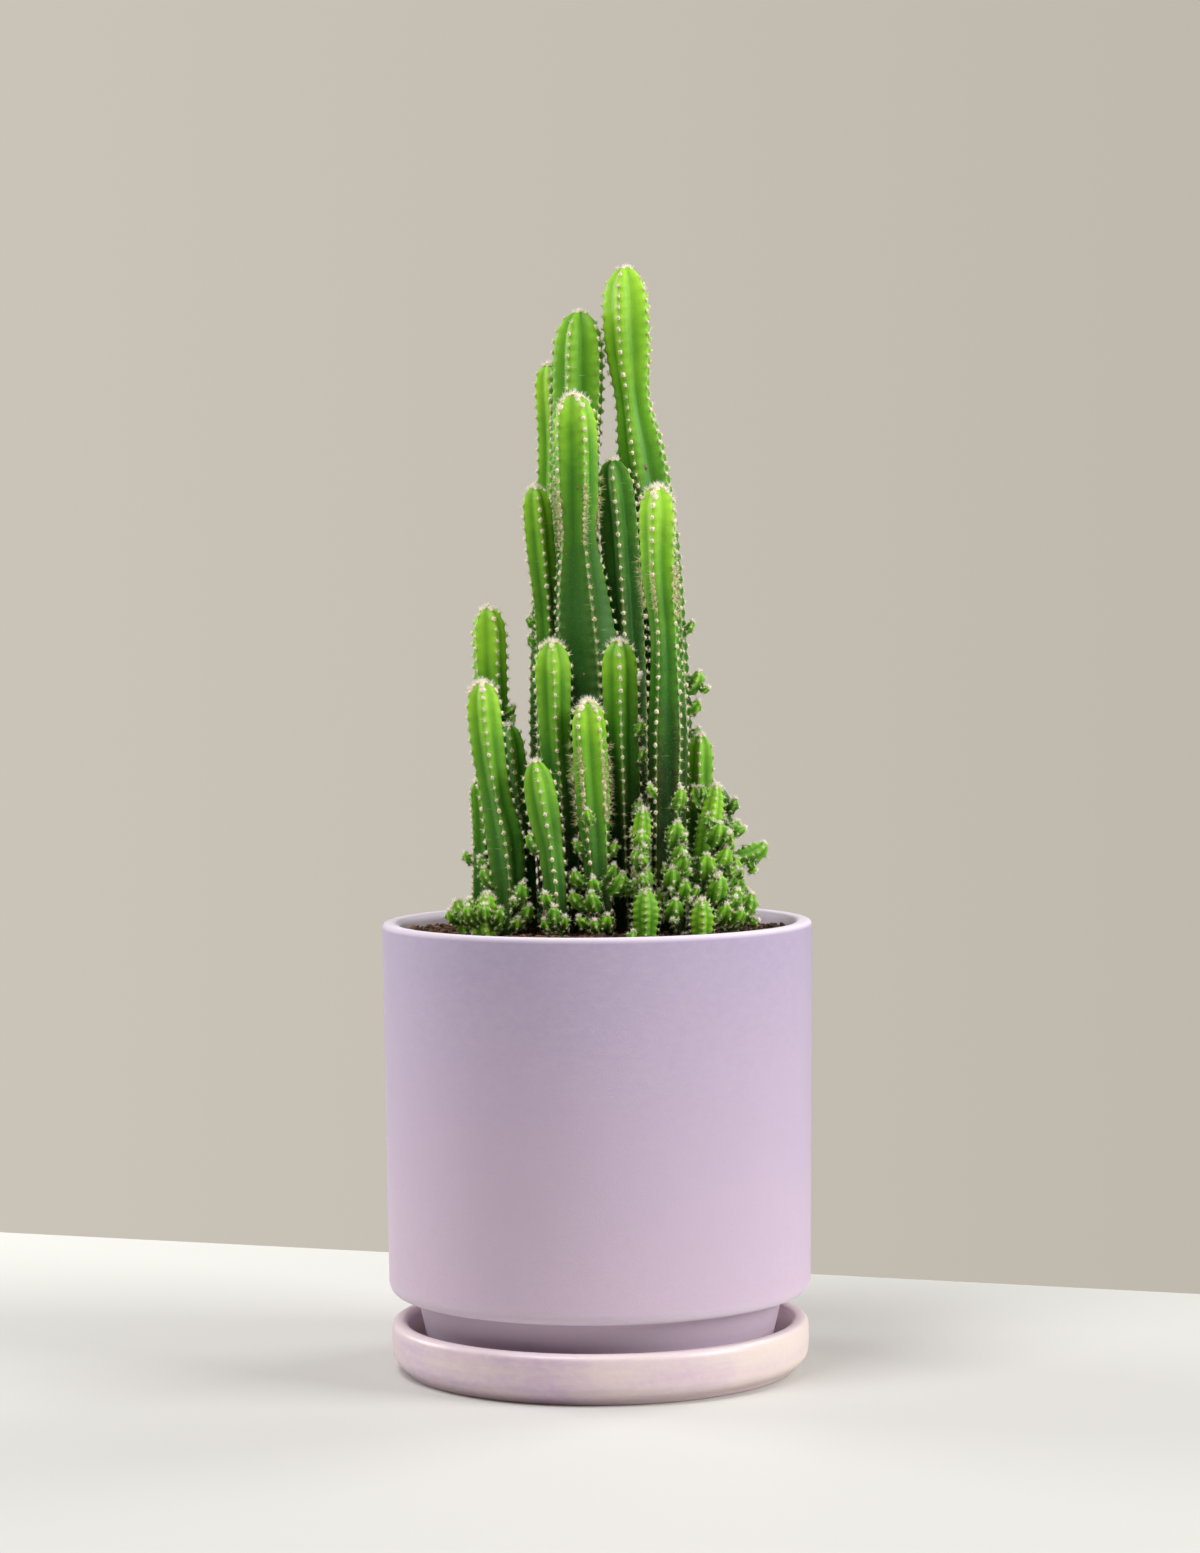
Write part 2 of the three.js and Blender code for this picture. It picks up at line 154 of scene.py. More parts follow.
def stretched(place, scale):
    """Object coordinates stretched by three factors."""
    return add(place, "ShaderNodeMapping", Vector=place, Scale=scale).outputs["Vector"]


def axes(place):
    """The X, Y and Z of object coordinates, in metres."""
    return add(place, "ShaderNodeSeparateXYZ", Vector=place).outputs


def noise(place, scale, detail=3.0, rough=0.55):
    """Cloudy noise from 0 to 1, with `scale` lumps to the metre."""
    made = add(place, "ShaderNodeTexNoise", Vector=place, Scale=scale, Detail=detail, Roughness=rough)
    return made.outputs["Fac"]


def between(value, low, high, start=0.0, end=1.0):
    """Stretches `value` so that low gives `start` and high gives `end`, and cuts it off there."""
    limits = dict(From_Min=low, From_Max=high, To_Min=start, To_Max=end)
    return add(value, "ShaderNodeMapRange", Value=value, **limits).outputs["Result"]


def maths(first, second, how="MULTIPLY"):
    """First times second, or their sum, difference or larger one."""
    made = add(first, "ShaderNodeMath")
    made.operation = how
    socket(made, 0, first)
    socket(made, 1, second)
    return made.outputs[0]


def linear(red, green, blue):
    """A screen colour from 0 to 255 as Blender's linear one."""
    parts = np.array([red, green, blue]) / 255
    return tuple(np.where(parts < 0.04045, parts / 12.92, ((parts + 0.055) / 1.055) ** 2.4)) + (1.0,)


def blended(share, first, second):
    """Mixes two colours by a share from 0 to 1. Each is an output or a screen colour from 0 to 255."""
    made = add(share, "ShaderNodeMix")
    made.data_type = "RGBA"
    socket(made, 0, share)
    for key, colour in ((6, first), (7, second)):
        socket(made, key, linear(*colour) if isinstance(colour, tuple) else colour)
    return made.outputs[2]


def grain(surface, height, strength, distance):
    """Bumps a surface by a height from 0 to 1, `distance` metres deep."""
    bump = add(surface, "ShaderNodeBump", Height=height, Strength=strength, Distance=distance)
    socket(surface, "Normal", bump.outputs["Normal"])


saucer_inside = SAUCER_OUTSIDE - SAUCER_RIM
saucer_profile = rounded(
    [
        (0, 1.5), (FOOT_RING[0] - 1, 1.5), (FOOT_RING[0], 0), (FOOT_RING[1], 0),
        (FOOT_RING[1] + 1.2, 2.2), (SAUCER_OUTSIDE - 0.6, 6.2), (SAUCER_OUTSIDE, 13),
        (SAUCER_OUTSIDE - 0.1, SAUCER_HEIGHT), (saucer_inside + 0.3, SAUCER_HEIGHT),
        (saucer_inside - 2.4, SAUCER_FLOOR + 4), (saucer_inside - 5, SAUCER_FLOOR), (0, SAUCER_FLOOR),
    ],
    [0, 0.8, 0.8, 1, 1, 3, 4, 3.9, 3, 3, 2, 0],
    7,
)
saucer = turned("saucer.cast", saucer_profile, 0.0)

glaze, glaze_surface, glaze_place = finish_of("brushed_saucer_glaze")
streaks = noise(stretched(glaze_place, (9, 9, 130)), 1.0, 5)
clouds = noise(glaze_place, 16, 4)
fine_mottle = noise(stretched(glaze_place, (220, 220, 420)), 1.0, 3)
bands = between(maths(streaks, clouds, "ADD"), 0.8, 1.2)
lilac_glaze = blended(between(clouds, 0.35, 0.7), (196, 172, 195), (206, 184, 198))
banded = blended(bands, lilac_glaze, (218, 202, 194))
mottled_glaze = blended(between(fine_mottle, 0.42, 0.7, 0.0, 0.35), banded, (222, 205, 201))
glaze_height = axes(glaze_place)["Z"]
# Painted shade: the glaze is painted darker over the lowest few millimetres, where the dish meets the
# table.
foot_shade = between(glaze_height, 1 * MM, 4 * MM, 0.4, 0.0)
foot_shaded_glaze = blended(foot_shade, mottled_glaze, (160, 128, 148))
# The pale top of the rim is partly thinner glaze and partly a painted highlight.
rim_break_and_highlight = between(glaze_height, (SAUCER_HEIGHT - 2.5) * MM, (SAUCER_HEIGHT - 0.2) * MM, 0.0, 0.6)
feed(
    glaze_surface, Base_Color=blended(rim_break_and_highlight, foot_shaded_glaze, (228, 212, 218)), Coat_Weight=0.22,
    Coat_Roughness=0.22, Roughness=between(bands, 0, 1, 0.36, 0.5),
)
grain(glaze_surface, maths(streaks, noise(glaze_place, 420, 3), "ADD"), 0.25, 0.0004)
saucer.data.materials.append(glaze)
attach(saucer, "root")
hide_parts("saucer")


# Pot: a slip-cast cylinder with a full round lip, a soft lower edge and a stepped-in foot that stands in
# the saucer. It is matte and slightly sandy, and fires from cool lilac above to a pinker lilac below;
# the lower part is also painted lighter, as painted light bounced up from the table.

POT_OUTSIDE = 101.5
POT_OUTSIDE_LOW = 99.9
POT_WALL = 8.5
POT_HEIGHT = 212.7
POT_SHOULDER = 37.0
POT_NECK = 82.0
POT_UNDERSIDE = 9.0
DRAIN = 7.0

pot_inside = POT_OUTSIDE - POT_WALL
neck_inside = POT_NECK - POT_WALL
shoulder_inside = POT_SHOULDER + POT_WALL
pot_profile = rounded(
    [
        (DRAIN, POT_UNDERSIDE), (neck_inside - 1, POT_UNDERSIDE), (neck_inside, SAUCER_FLOOR),
        (POT_NECK - 2, SAUCER_FLOOR), (POT_NECK + 5, POT_SHOULDER), (POT_OUTSIDE_LOW, POT_SHOULDER),
        (POT_OUTSIDE, POT_HEIGHT), (pot_inside, POT_HEIGHT), (pot_inside - 1.3, shoulder_inside + 3),
        (pot_inside - 4, shoulder_inside), (neck_inside, shoulder_inside),
        (neck_inside, POT_UNDERSIDE + POT_WALL), (DRAIN, POT_UNDERSIDE + POT_WALL),
    ],
    [0, 1, 1, 1.5, 5, 7.0, 2.6, 4.2, 3, 3, 3, 3, 0],
    9,
)
pot = turned("pot.cast", pot_profile, 0.12)

slip, slip_surface, slip_place = finish_of("matte_lilac_slip")
slip_axes = axes(slip_place)
pot_up = slip_axes["Z"]
drift = noise(slip_place, 9, 3)
# Besides the pinker firing below, the lower pot is painted lighter as painted light bounced up from the
# table.
fired_and_bounce_lit = between(maths(pot_up, maths(drift, 0.06), "ADD"), 0.05, 0.235)
tone = blended(fired_and_bounce_lit, (201, 179, 198), (165, 151, 179))
mottle = between(noise(stretched(slip_place, (190, 190, 330)), 1.0, 5, 0.7), 0.36, 0.68)
mottled = blended(maths(mottle, 0.32), tone, (188, 174, 190))
flecks = between(noise(slip_place, 900, 2, 0.6), 0.7, 0.78)
flecked = blended(maths(flecks, 0.45), mottled, (146, 120, 154))
# The slip runs thin and pale over the lip and the lower edge, with a painted highlight there as well,
# and the inside is painted paler as painted light on the inner wall.
level_place = add(slip_place, "ShaderNodeCombineXYZ", X=slip_axes["X"], Y=slip_axes["Y"]).outputs[0]
slip_radius = add(slip_place, "ShaderNodeVectorMath")
slip_radius.operation = "LENGTH"
socket(slip_radius, 0, level_place)
above_neck = between(pot_up, POT_SHOULDER * MM, shoulder_inside * MM)
inner = between(slip_radius.outputs["Value"], pot_inside * MM, (pot_inside + 1.5) * MM, 1.0, 0.0)
inside = maths(inner, above_neck)
lip = between(pot_up, (POT_HEIGHT - 2.6) * MM, POT_HEIGHT * MM, 0.0, 0.95)
lower_edge = between(pot_up, (POT_SHOULDER + 0.5) * MM, (POT_SHOULDER + 7) * MM, 0.55, 0.0)
thin_slip_and_highlight = blended(maths(lip, lower_edge, "MAXIMUM"), flecked, (222, 211, 224))
# Painted shade: below the shoulder, the foot standing down in the saucer is painted darker.
below_shoulder = between(pot_up, (POT_SHOULDER - 1) * MM, (POT_SHOULDER + 0.5) * MM, 0.3, 0.0)
foot_shaded_slip = blended(below_shoulder, thin_slip_and_highlight, (150, 116, 150))
feed(
    slip_surface, Base_Color=blended(inside, foot_shaded_slip, (250, 232, 255)), Specular_IOR_Level=0.4,
    Roughness=between(mottle, 0, 1, 0.6, 0.76), Sheen_Weight=0.25, Sheen_Roughness=0.35,
)
sand = maths(noise(slip_place, 1400, 3, 0.6), noise(slip_place, 160, 3), "ADD")
grain(slip_surface, sand, 0.32, 0.00035)
pot.data.materials.append(slip)
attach(pot, "root")
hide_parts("pot")


# Soil: peat and shredded coir, filled to just under the lip and settled a little unevenly. Loose crumbs
# of peat and bark lie on it, with short tan fibres of coir among them.

SOIL_LEVEL = 207.5
SOIL_GAP = 0.3
SOIL_RINGS = 61
SOIL_STEPS = 200
CRUMBS = 2000
FIBRES = 620
chance = np.random.default_rng(11)


def soil_height(x, y):
    """Height of the settled soil: a level with slow swells and finer lumps, sums of sine products."""
    slow = 0.7 * np.sin(0.07 * x + 1) * np.cos(0.06 * y) - 0.5 * np.cos(0.045 * x - 0.08 * y)
    fine = 0.3 * np.sin(0.63 * x + 0.2 * y) * np.sin(0.57 * y - 0.3 * x + 2)
    finest = 0.2 * np.sin(1.3 * x) * np.sin(1.1 * y)
    return SOIL_LEVEL - 0.4 + 0.75 * slow + (fine + finest)


def ring_faces(rings, around):
    """Faces of a tube of rings of `around` points, closed by a fan on one more point at each end."""
    here = np.arange(around)
    after = (here + 1) % around
    low = np.arange(rings - 1)[:, None] * around
    high = low + around
    foot = rings * around
    last = foot - around
    fours = stacked(low + here, low + after, high + after, high + here)
    return fours, np.vstack([stacked(foot, after, here), stacked(foot + 1, last + here, last + after)])


def soil_bed():
    """A plug: rings from the middle out follow soil_height, then the wall runs down inside the pot."""
    wide = pot_inside - 1.3 - SOIL_GAP
    reach = np.linspace(0, wide, SOIL_RINGS + 1)[1:, None]
    angle = np.linspace(0, 2 * np.pi, SOIL_STEPS, endpoint=False)
    x = reach * np.cos(angle)
    y = reach * np.sin(angle)
    crumbly = chance.normal(0, 0.22, x.shape) * (reach < wide - 1)
    side, height = np.array([
        (wide - 4, shoulder_inside + SOIL_GAP), (neck_inside - SOIL_GAP, shoulder_inside + SOIL_GAP),
        (neck_inside - SOIL_GAP, POT_UNDERSIDE + POT_WALL + SOIL_GAP),
    ]).T[..., None]
    points = np.vstack([
        stacked(x, y, soil_height(x, y) + crumbly),
        stacked(side * np.cos(angle), side * np.sin(angle), height),
        [[0, 0, soil_height(0, 0)], [0, 0, height[-1, 0]]],
    ])
    fours, threes = ring_faces(SOIL_RINGS + len(side), SOIL_STEPS)
    # The rings run from the top down, so their faces turn the other way.
    return into_mesh("soil.bed", points, fours[:, [0, 3, 2, 1]], threes[:, [0, 2, 1]])


soil = soil_bed()

ICOSAHEDRON = np.array([
    (0, 1, 1.618), (0, -1, 1.618), (0, 1, -1.618), (0, -1, -1.618), (1, 1.618, 0), (-1, 1.618, 0),
    (1, -1.618, 0), (-1, -1.618, 0), (1.618, 0, 1), (-1.618, 0, 1), (1.618, 0, -1), (-1.618, 0, -1),
]) / 1.902
ICOSAHEDRON_FACES = np.array([
    (0, 9, 1), (0, 1, 8), (0, 8, 4), (0, 4, 5), (0, 5, 9), (9, 5, 11), (9, 11, 7), (9, 7, 1), (1, 7, 6),
    (1, 6, 8), (8, 6, 10), (8, 10, 4), (4, 10, 2), (4, 2, 5), (5, 2, 11), (3, 11, 2), (3, 7, 11),
    (3, 6, 7), (3, 10, 6), (3, 2, 10),
])


def unit(rows):
    """Rows scaled to a length of one."""
    return rows / np.maximum(np.linalg.norm(rows, axis=1, keepdims=True), 1e-6)


def turns(count):
    """Random turning matrices (count, 3, 3), from random unit quaternions."""
    w, x, y, z = unit(chance.normal(size=(count, 4))).T
    return stacked(
        1 - 2 * (y * y + z * z), 2 * (x * y - w * z), 2 * (x * z + w * y),
        2 * (x * y + w * z), 1 - 2 * (x * x + z * z), 2 * (y * z - w * x),
        2 * (x * z - w * y), 2 * (y * z + w * x), 1 - 2 * (x * x + y * y),
    ).reshape(-1, 3, 3)


def scattered(count, outer):
    """Random places on the soil within a radius, even over the area."""
    radius = np.sqrt(chance.uniform(0, outer ** 2, count))
    angle = chance.uniform(0, 2 * np.pi, count)
    x = radius * np.cos(angle)
    y = radius * np.sin(angle)
    return stacked(x, y, soil_height(x, y))


def copies(faces, count):
    """Faces of a small shape that is repeated `count` times, each numbered on from the one before."""
    return (faces + (faces.max() + 1) * np.arange(count)[:, None, None]).reshape(-1, 3)


def crumbs():
    """Irregular lumps: icosahedra with random corners, squashed, turned and set partly into the soil."""
    size = chance.gamma(4.0, 0.27, (CRUMBS, 1, 1)) + 0.35
    shape = ICOSAHEDRON * chance.uniform(0.65, 1.15, (CRUMBS, 12, 1)) * size
    shape = shape * chance.uniform((0.6, 0.4, 0.5), (1.5, 1.0, 0.9), (CRUMBS, 3))[:, None, :]
    shape = np.einsum("nij,nkj->nki", turns(CRUMBS), shape)
    place = scattered(CRUMBS, pot_inside - 4.5)
    place[:, 2] += size[:, 0, 0] * 0.2
    points = (shape + place[:, None, :]).reshape(-1, 3)
    tone = np.repeat(chance.random(CRUMBS), 12)
    return into_mesh("soil.crumbs", points, (), copies(ICOSAHEDRON_FACES, CRUMBS), {"tone": tone})


def fibres():
    """Thin bent strands, each a three-sided tube of five rings along an arc that lies on the soil."""
    along = np.linspace(-0.5, 0.5, 5)
    length = chance.uniform(2.5, 9, (FIBRES, 1))
    bend = chance.uniform(-0.3, 0.3, (FIBRES, 1))
    heading = chance.uniform(0, 2 * np.pi, (FIBRES, 1))
    straight = along * length
    aside = bend * length * (1 - 4 * along ** 2)
    place = scattered(FIBRES, pot_inside - 7)
    x = place[:, :1] + straight * np.cos(heading) - aside * np.sin(heading)
    y = place[:, 1:2] + straight * np.sin(heading) + aside * np.cos(heading)
    lift = chance.uniform(0.1, 1.0, (FIBRES, 1)) + chance.uniform(-0.5, 1.2, (FIBRES, 1)) * along
    middle = np.stack([x, y, soil_height(x, y) + lift + 0.35], -1)[:, :, None]
    thick = chance.uniform(0.09, 0.2, (FIBRES, 1, 1, 1)) * (1 - 1.4 * along ** 2)[None, :, None, None]
    turn = np.radians([90, 210, 330])
    side = stacked(np.cos(turn), np.sin(turn))
    across = stacked(-np.sin(heading), np.cos(heading), 0)[:, None, None]
    points = middle + thick * (side[:, :1] * across + side[:, 1:] * [0, 0, 1])
    first = np.arange(FIBRES) * 15
    low = first[:, None, None] + np.arange(4)[:, None] * 3
    edge = np.arange(3)
    after = (edge + 1) % 3
    fours = stacked(low + edge, low + 3 + edge, low + 3 + after, low + after)
    threes = stacked([first, first + 14], [first + 1, first + 13], [first + 2, first + 12])
    tone = np.repeat(chance.random(FIBRES), 15)
    return into_mesh("soil.coir", points.reshape(-1, 3), fours, threes, {"tone": tone})


def marked(surface, mark):
    """Reads an attribute of the mesh as a number."""
    node = add(surface, "ShaderNodeAttribute")
    node.attribute_name = mark
    return node.outputs["Fac"]


peat, peat_surface, peat_place = finish_of("damp_peat", 0.9)
lumps = noise(peat_place, 420, 5, 0.7)
dark_peat = blended(between(lumps, 0.35, 0.65), (34, 21, 15), (84, 56, 40))
specks = between(noise(peat_place, 1500, 3, 0.6), 0.6, 0.72)
feed(peat_surface, Base_Color=blended(maths(specks, 0.7), dark_peat, (118, 84, 56)))
grain(peat_surface, lumps, 1.0, 0.0025)
soil.data.materials.append(peat)
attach(soil, "root")
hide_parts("soil")

bark, bark_surface, bark_place = finish_of("peat_and_bark_crumbs", 0.85)
bark_noise = noise(bark_place, 900, 4, 0.65)
bark_tone = blended(between(marked(bark_surface, "tone"), 0.45, 1.0), (54, 34, 24), (150, 102, 68))
feed(bark_surface, Base_Color=blended(between(bark_noise, 0.4, 0.75), bark_tone, (76, 50, 36)))
grain(bark_surface, bark_noise, 0.8, 0.0012)
crumb_piece = crumbs()
crumb_piece.data.materials.append(bark)
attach(crumb_piece, "root")

coir, coir_surface, coir_place = finish_of("coir_fibre", 0.7)
coir_tone = blended(marked(coir_surface, "tone"), (110, 70, 42), (188, 144, 96))
feed(coir_surface, Base_Color=blended(noise(coir_place, 700), coir_tone, (92, 60, 38)))
grain(coir_surface, noise(coir_place, 2500), 0.4, 0.0003)
fibre_piece = fibres()
fibre_piece.data.materials.append(coir)
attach(fibre_piece, "root")


# Cactus flesh: each stem is one ribbed column with five ribs, rooted in the soil. It widens and narrows
# with every season's growth, its rib edges are toothed, and small offsets grow out of its lower half.

RIBS = 5
SEEDS = 97
FURROW = 0.72
TIP_LENGTH = 2.1
TIP_BLUNT = 3.0
RING_STEP = 1.55
AXIS_STEPS = 601
RIB_SPLITS = np.array([0, 0.12, 0.3, 0.53, 0.78])
OFFSET_SPLITS = np.array([0, 0.22, 0.58])
TOOTH = (0.055, 0.34, 0.34)
OFFSET_TOOTH = (0.19, 0.24, 0.62)
AREOLE_PITCH = 5.3
OFFSET_PITCH = 3.2
OFFSET_TIP_LENGTH = 1.75
OFFSET_TIP_BLUNT = 2.2
CLUMP_TIP_LENGTH = 2.3
OFFSET_SUNK = 2.5
OFFSET_TURN = 37
BUDDING_RADIUS = 3.3
BUD_RIBS = (0, 3)
ROOT_LEVEL = 185
sprout = np.random.default_rng(21)

# Each stem: its axis as (x, y, z, crest radius), the radius of its root straight below, the sides that
# its first rib faces at foot and tip in degrees from the front, how old its tip and foot look (0 fresh,
# 1 old, and past 1 the foot is painted near-black as shade), the bloom on its lower part, the wool on
# its crown, the heights between which its areoles crowd, the share of the radius that its furrows keep,
# and its offsets as (height of the root, side, reach, rise to the tip, radius).
STEMS = {
    "stem_tallest": dict(
        axis=[
            (36.5, 29, 212, 9), (36, 33, 290, 11.5), (33.5, 36, 345, 11.8), (30, 36, 395, 11.6),
            (24, 36, 433, 12), (19.6, 36, 460, 8.9), (17.4, 36, 488, 11.8), (16.1, 36, 523, 11.4),
        ],
        root=8, ribs=(-30, -21), age_and_shade=(0.0, 1.5), bloom=0.45, crown=0.25,
        offsets=[
            (321, 95, 15, 8, 3.8), (310, 98, 14, 5, 3.2), (216, 150, 15, 12, 4),
            (224, 110, 13, 10, 3.6), (348, 90, 13.5, 5, 2), (298, 92, 13.5, 4, 2),
        ],
    ),
    "stem_back_centre": dict(
        axis=[
            (-4, 37, 212, 9), (-6, 42, 300, 11.5), (-8, 42, 380, 12), (-8, 41, 430, 12.2),
            (-6.6, 40, 466, 13), (-6, 39, 502.5, 12.6),
        ],
        root=8, ribs=(-18, -25), age_and_shade=(0.34, 1.4), bloom=0.2, crown=0.2, furrow=0.6,
        offsets=[(216, 170, 15, 12, 4.4), (224, 215, 14, 9, 3.8)],
    ),
    "stem_back_left": dict(
        axis=[
            (-21, 35, 212, 7), (-25, 48, 290, 7.4), (-23.5, 55, 370, 7.2), (-20.4, 56, 432, 7),
            (-21.8, 54, 478, 7.2),
        ],
        root=6, ribs=(10, 3), age_and_shade=(0.06, 1.4), bloom=0.2, crown=0.35,
        offsets=[(215, 178, 14, 11, 4)],
    ),
    "stem_front_tall": dict(
        axis=[
            (0, 9, 212, 10), (-1, 12, 280, 14.6), (-4, 13, 330, 16.2), (-6.8, 12, 368, 13),
            (-8, 10, 394, 9.2), (-8.4, 9, 420, 10.8), (-9.2, 8, 461.3, 10.8),
        ],
        root=9, ribs=(14, 26), age_and_shade=(0.14, 1.62), bloom=0.7, crown=0.9, crowded=(393, 416),
    ),
    "stem_mid_left": dict(
        axis=[
            (-19, 17, 212, 7), (-22, 25, 290, 7), (-23, 27, 350, 6), (-26, 25, 390, 7.4),
            (-28.2, 23, 418.2, 7.2),
        ],
        root=6, ribs=(20, 12), age_and_shade=(0.2, 1.4), bloom=0.3, crown=0.4,
        offsets=[(352, -90, 8.5, 4, 2), (343, -95, 8.5, 4, 2)],
    ),
    "stem_dark_centre": dict(
        axis=[
            (15, 27, 212, 9), (16, 25, 290, 9.6), (15, 24, 345, 9.6), (12, 24, 400, 9.6),
            (9, 24, 430.8, 8.8),
        ],
        root=8, ribs=(-5, -5), age_and_shade=(0.66, 1.5), bloom=0.1, crown=0.25, furrow=0.6,
    ),
    "stem_front_right": dict(
        axis=[
            (33.4, -17, 212, 8), (33.6, -18, 255, 8.5), (33.8, -18, 300, 9.5), (33, -18, 345, 7),
            (30.4, -18, 376, 8.3), (29.8, -18, 416.7, 9.6),
        ],
        root=7, ribs=(-54, -15), age_and_shade=(0.0, 1.75), bloom=0.12, crown=1.0, crowded=(362, 378),
        offsets=[
            (268, 30, 12, 8, 2.8), (251, 20, 12, 9.5, 4.2), (243.5, 26, 14, 6.5, 3.8),
            (239, 24, 16.5, 6, 3.7), (232, 8, 15, 7.5, 4), (226, 27, 17, 7.5, 3.8),
            (217, 10, 18, 8, 4.2), (273, -47, 12, 5, 2), (226, 46, 18, 4, 2.4),
        ],
    ),
    "stem_short_left": dict(
        axis=[(-15, -7, 212, 7.5), (-17, -8, 270, 8), (-19.2, -8, 300, 8), (-20.2, -8, 344.8, 9.6)],
        root=6.5, ribs=(8, 5), age_and_shade=(0.2, 1.5), bloom=0.2, crown=0.85,
        offsets=[(280, 60, 9, 6, 2.2)],
    ),
    "stem_short_centre": dict(
        axis=[(14, -9, 212, 7.5), (12.8, -10, 260, 8.6), (11.8, -10, 305, 8.6), (11.4, -10, 345, 9.2)],
        root=6.5, ribs=(6, 0), age_and_shade=(0.3, 1.75), bloom=0.1, crown=0.85,
        offsets=[(301, 70, 10, 6, 2.5), (264, 50, 10.5, 6, 2.6), (288, 80, 10, 6, 2.2)],
    ),
    "stem_front_centre": dict(
        axis=[
            (3.2, -24, 212, 5.6), (0.4, -24, 240, 6.6), (-1.4, -23, 272, 8.4), (-3.6, -22, 317.2, 8.4),
        ],
        root=5, ribs=(-18, -36), age_and_shade=(0.16, 1.3), bloom=0.15, crown=0.9, crowded=(262, 294),
        offsets=[
            (222, -76, 14, 6, 3), (213, -56, 14, 4, 2.6), (233, -78, 11.5, 5, 2.5),
            (230, -18, 9.5, 5, 3.1), (222, -24, 12, 6.5, 3.3), (213, 8, 12, 5, 3), (246, 80, 9, 5, 2.4),
            (236, 55, 9, 5, 3), (229.5, 62, 12, 7.5, 3.8), (231, -98, 14, 5, 2.2),
            (211.5, -20, 13, 4, 2.7), (247, -83, 9.5, 5, 2.1), (262, -20, 10, 5, 2.2),
        ],
    ),
    "stem_outer_left": dict(
        axis=[(-46, 18, 212, 7), (-48.5, 19, 280, 7.6), (-50, 18, 325, 8.2), (-51, 18, 361, 8.6)],
        root=6, ribs=(-40, -46), age_and_shade=(0.2, 1.1), bloom=0.1, crown=0.45,
        offsets=[
            (311, 84, 10.5, 3, 2.4), (216, 190, 13, 11, 4), (223, 150, 12, 9, 3.4),
            (306, 80, 10.5, 3, 2.2),
        ],
    ),
    "stem_left_front": dict(
        axis=[
            (-40.6, -14, 212, 6), (-42.6, -14, 248, 9.2), (-47.2, -14, 273, 7.6), (-51, -14, 300, 8.3),
            (-53, -14, 326.2, 8.1),
        ],
        root=5.5, ribs=(6, 0), age_and_shade=(0.16, 1.15), bloom=0.4, crown=0.95,
        offsets=[
            (231.5, -80, 11.5, 7.5, 3), (223, 28, 13.5, 9, 3.4), (216, 35, 16, 6, 3),
            (239, -95, 13, 4.5, 2.4), (212, 15, 15, 4, 2.6),
        ],
    ),
    "stem_behind_left": dict(
        axis=[(-34, 4, 212, 6), (-35.5, 5, 255, 6.4), (-38.5, 5, 285, 6.4), (-41, 5, 305.3, 5.6)],
        root=5, ribs=(0, 0), age_and_shade=(0.55, 1.2), bloom=0.1, crown=0.2,
        offsets=[(246, 40, 8.5, 7, 2.4)],
    ),
    "stem_low_left": dict(
        axis=[(-18.6, -26, 212, 5), (-21, -26, 243, 6), (-25, -25, 268, 8), (-28.4, -25, 289.2, 6.6)],
        root=4.4, ribs=(10, 3), age_and_shade=(0.36, 1.1), bloom=0.2, crown=0.3,
        offsets=[
            (248.5, -85, 9, 7, 3), (223, -32, 9, 5, 3), (214, -8, 10, 8, 3), (213, 22, 10, 4, 2.4),
            (212, -32, 11, 4, 2.4),
        ],
    ),
    "stem_far_left": dict(
        axis=[(-55, 4, 212, 4.8), (-54.2, 4, 250, 5), (-56.2, 5, 278.8, 4.6)],
        root=4, ribs=(20, 20), age_and_shade=(0.55, 1.05), bloom=0.3, crown=0.2,
        offsets=[(215, 215, 10, 7, 3), (241, -95, 8, 4, 2.2)],
    ),
    "stem_small_right": dict(
        axis=[(50, 5, 212, 6), (48.6, 5, 255, 6.8), (49.6, 5, 299.8, 6.6)],
        root=5, ribs=(0, -4), age_and_shade=(0.35, 1.1), bloom=0.1, crown=0.3,
        offsets=[(229, 120, 10, 6, 3)],
    ),
    "stem_stub_right": dict(
        axis=[(61, 17, 212, 4.8), (60.5, 16, 250, 4.8), (58.6, 16, 274.6, 4.4)],
        root=4, ribs=(10, 10), age_and_shade=(0.85, 1.0), bloom=0.2, crown=0.1,
        offsets=[
            (264, 60, 7.5, 5, 2.4), (236, 65, 9, 5, 2.8), (213, 160, 10, 9, 3.2), (213, 95, 10, 7, 3.2),
        ],
    ),
    "stem_rear_right": dict(
        axis=[(20, 46, 212, 7), (21, 48, 245, 8), (22, 49, 284, 7.6)],
        root=6, ribs=(0, 8), age_and_shade=(0.25, 0.85), bloom=0.2, crown=0.6,
        offsets=[
            (215, 180, 15, 11, 4.2), (225, 140, 13, 9, 3.8), (220, 218, 14, 8, 3.6),
            (240, 180, 11, 8, 3),
        ],
    ),
    "stem_rear_left": dict(
        axis=[(-36, 38, 212, 6.4), (-38, 39, 240, 7), (-39, 39, 268, 6.4)],
        root=5.5, ribs=(15, 4), age_and_shade=(0.4, 0.9), bloom=0.2, crown=0.5,
        offsets=[
            (215, 190, 14, 11, 4), (223, 235, 12, 8, 3.4), (216, 150, 12, 8, 3.4),
            (236, 200, 10, 8, 2.8), (215, 50, 15, 10, 4.2), (214, 95, 13, 8, 3.8),
        ],
    ),
    "pups_centre": dict(
        axis=[(20.5, -24, 212, 4), (20.6, -25, 240, 4), (21.8, -26, 267, 5)],
        root=3.6, ribs=(0, 0), age_and_shade=(0.32, 0.8), crown=0.7,
        offsets=[(251, 0, 6.5, 5, 4), (242, -8, 8, 6, 3.9), (231.5, 18, 8, 7.5, 3.8)],
    ),
    "pup_front": dict(
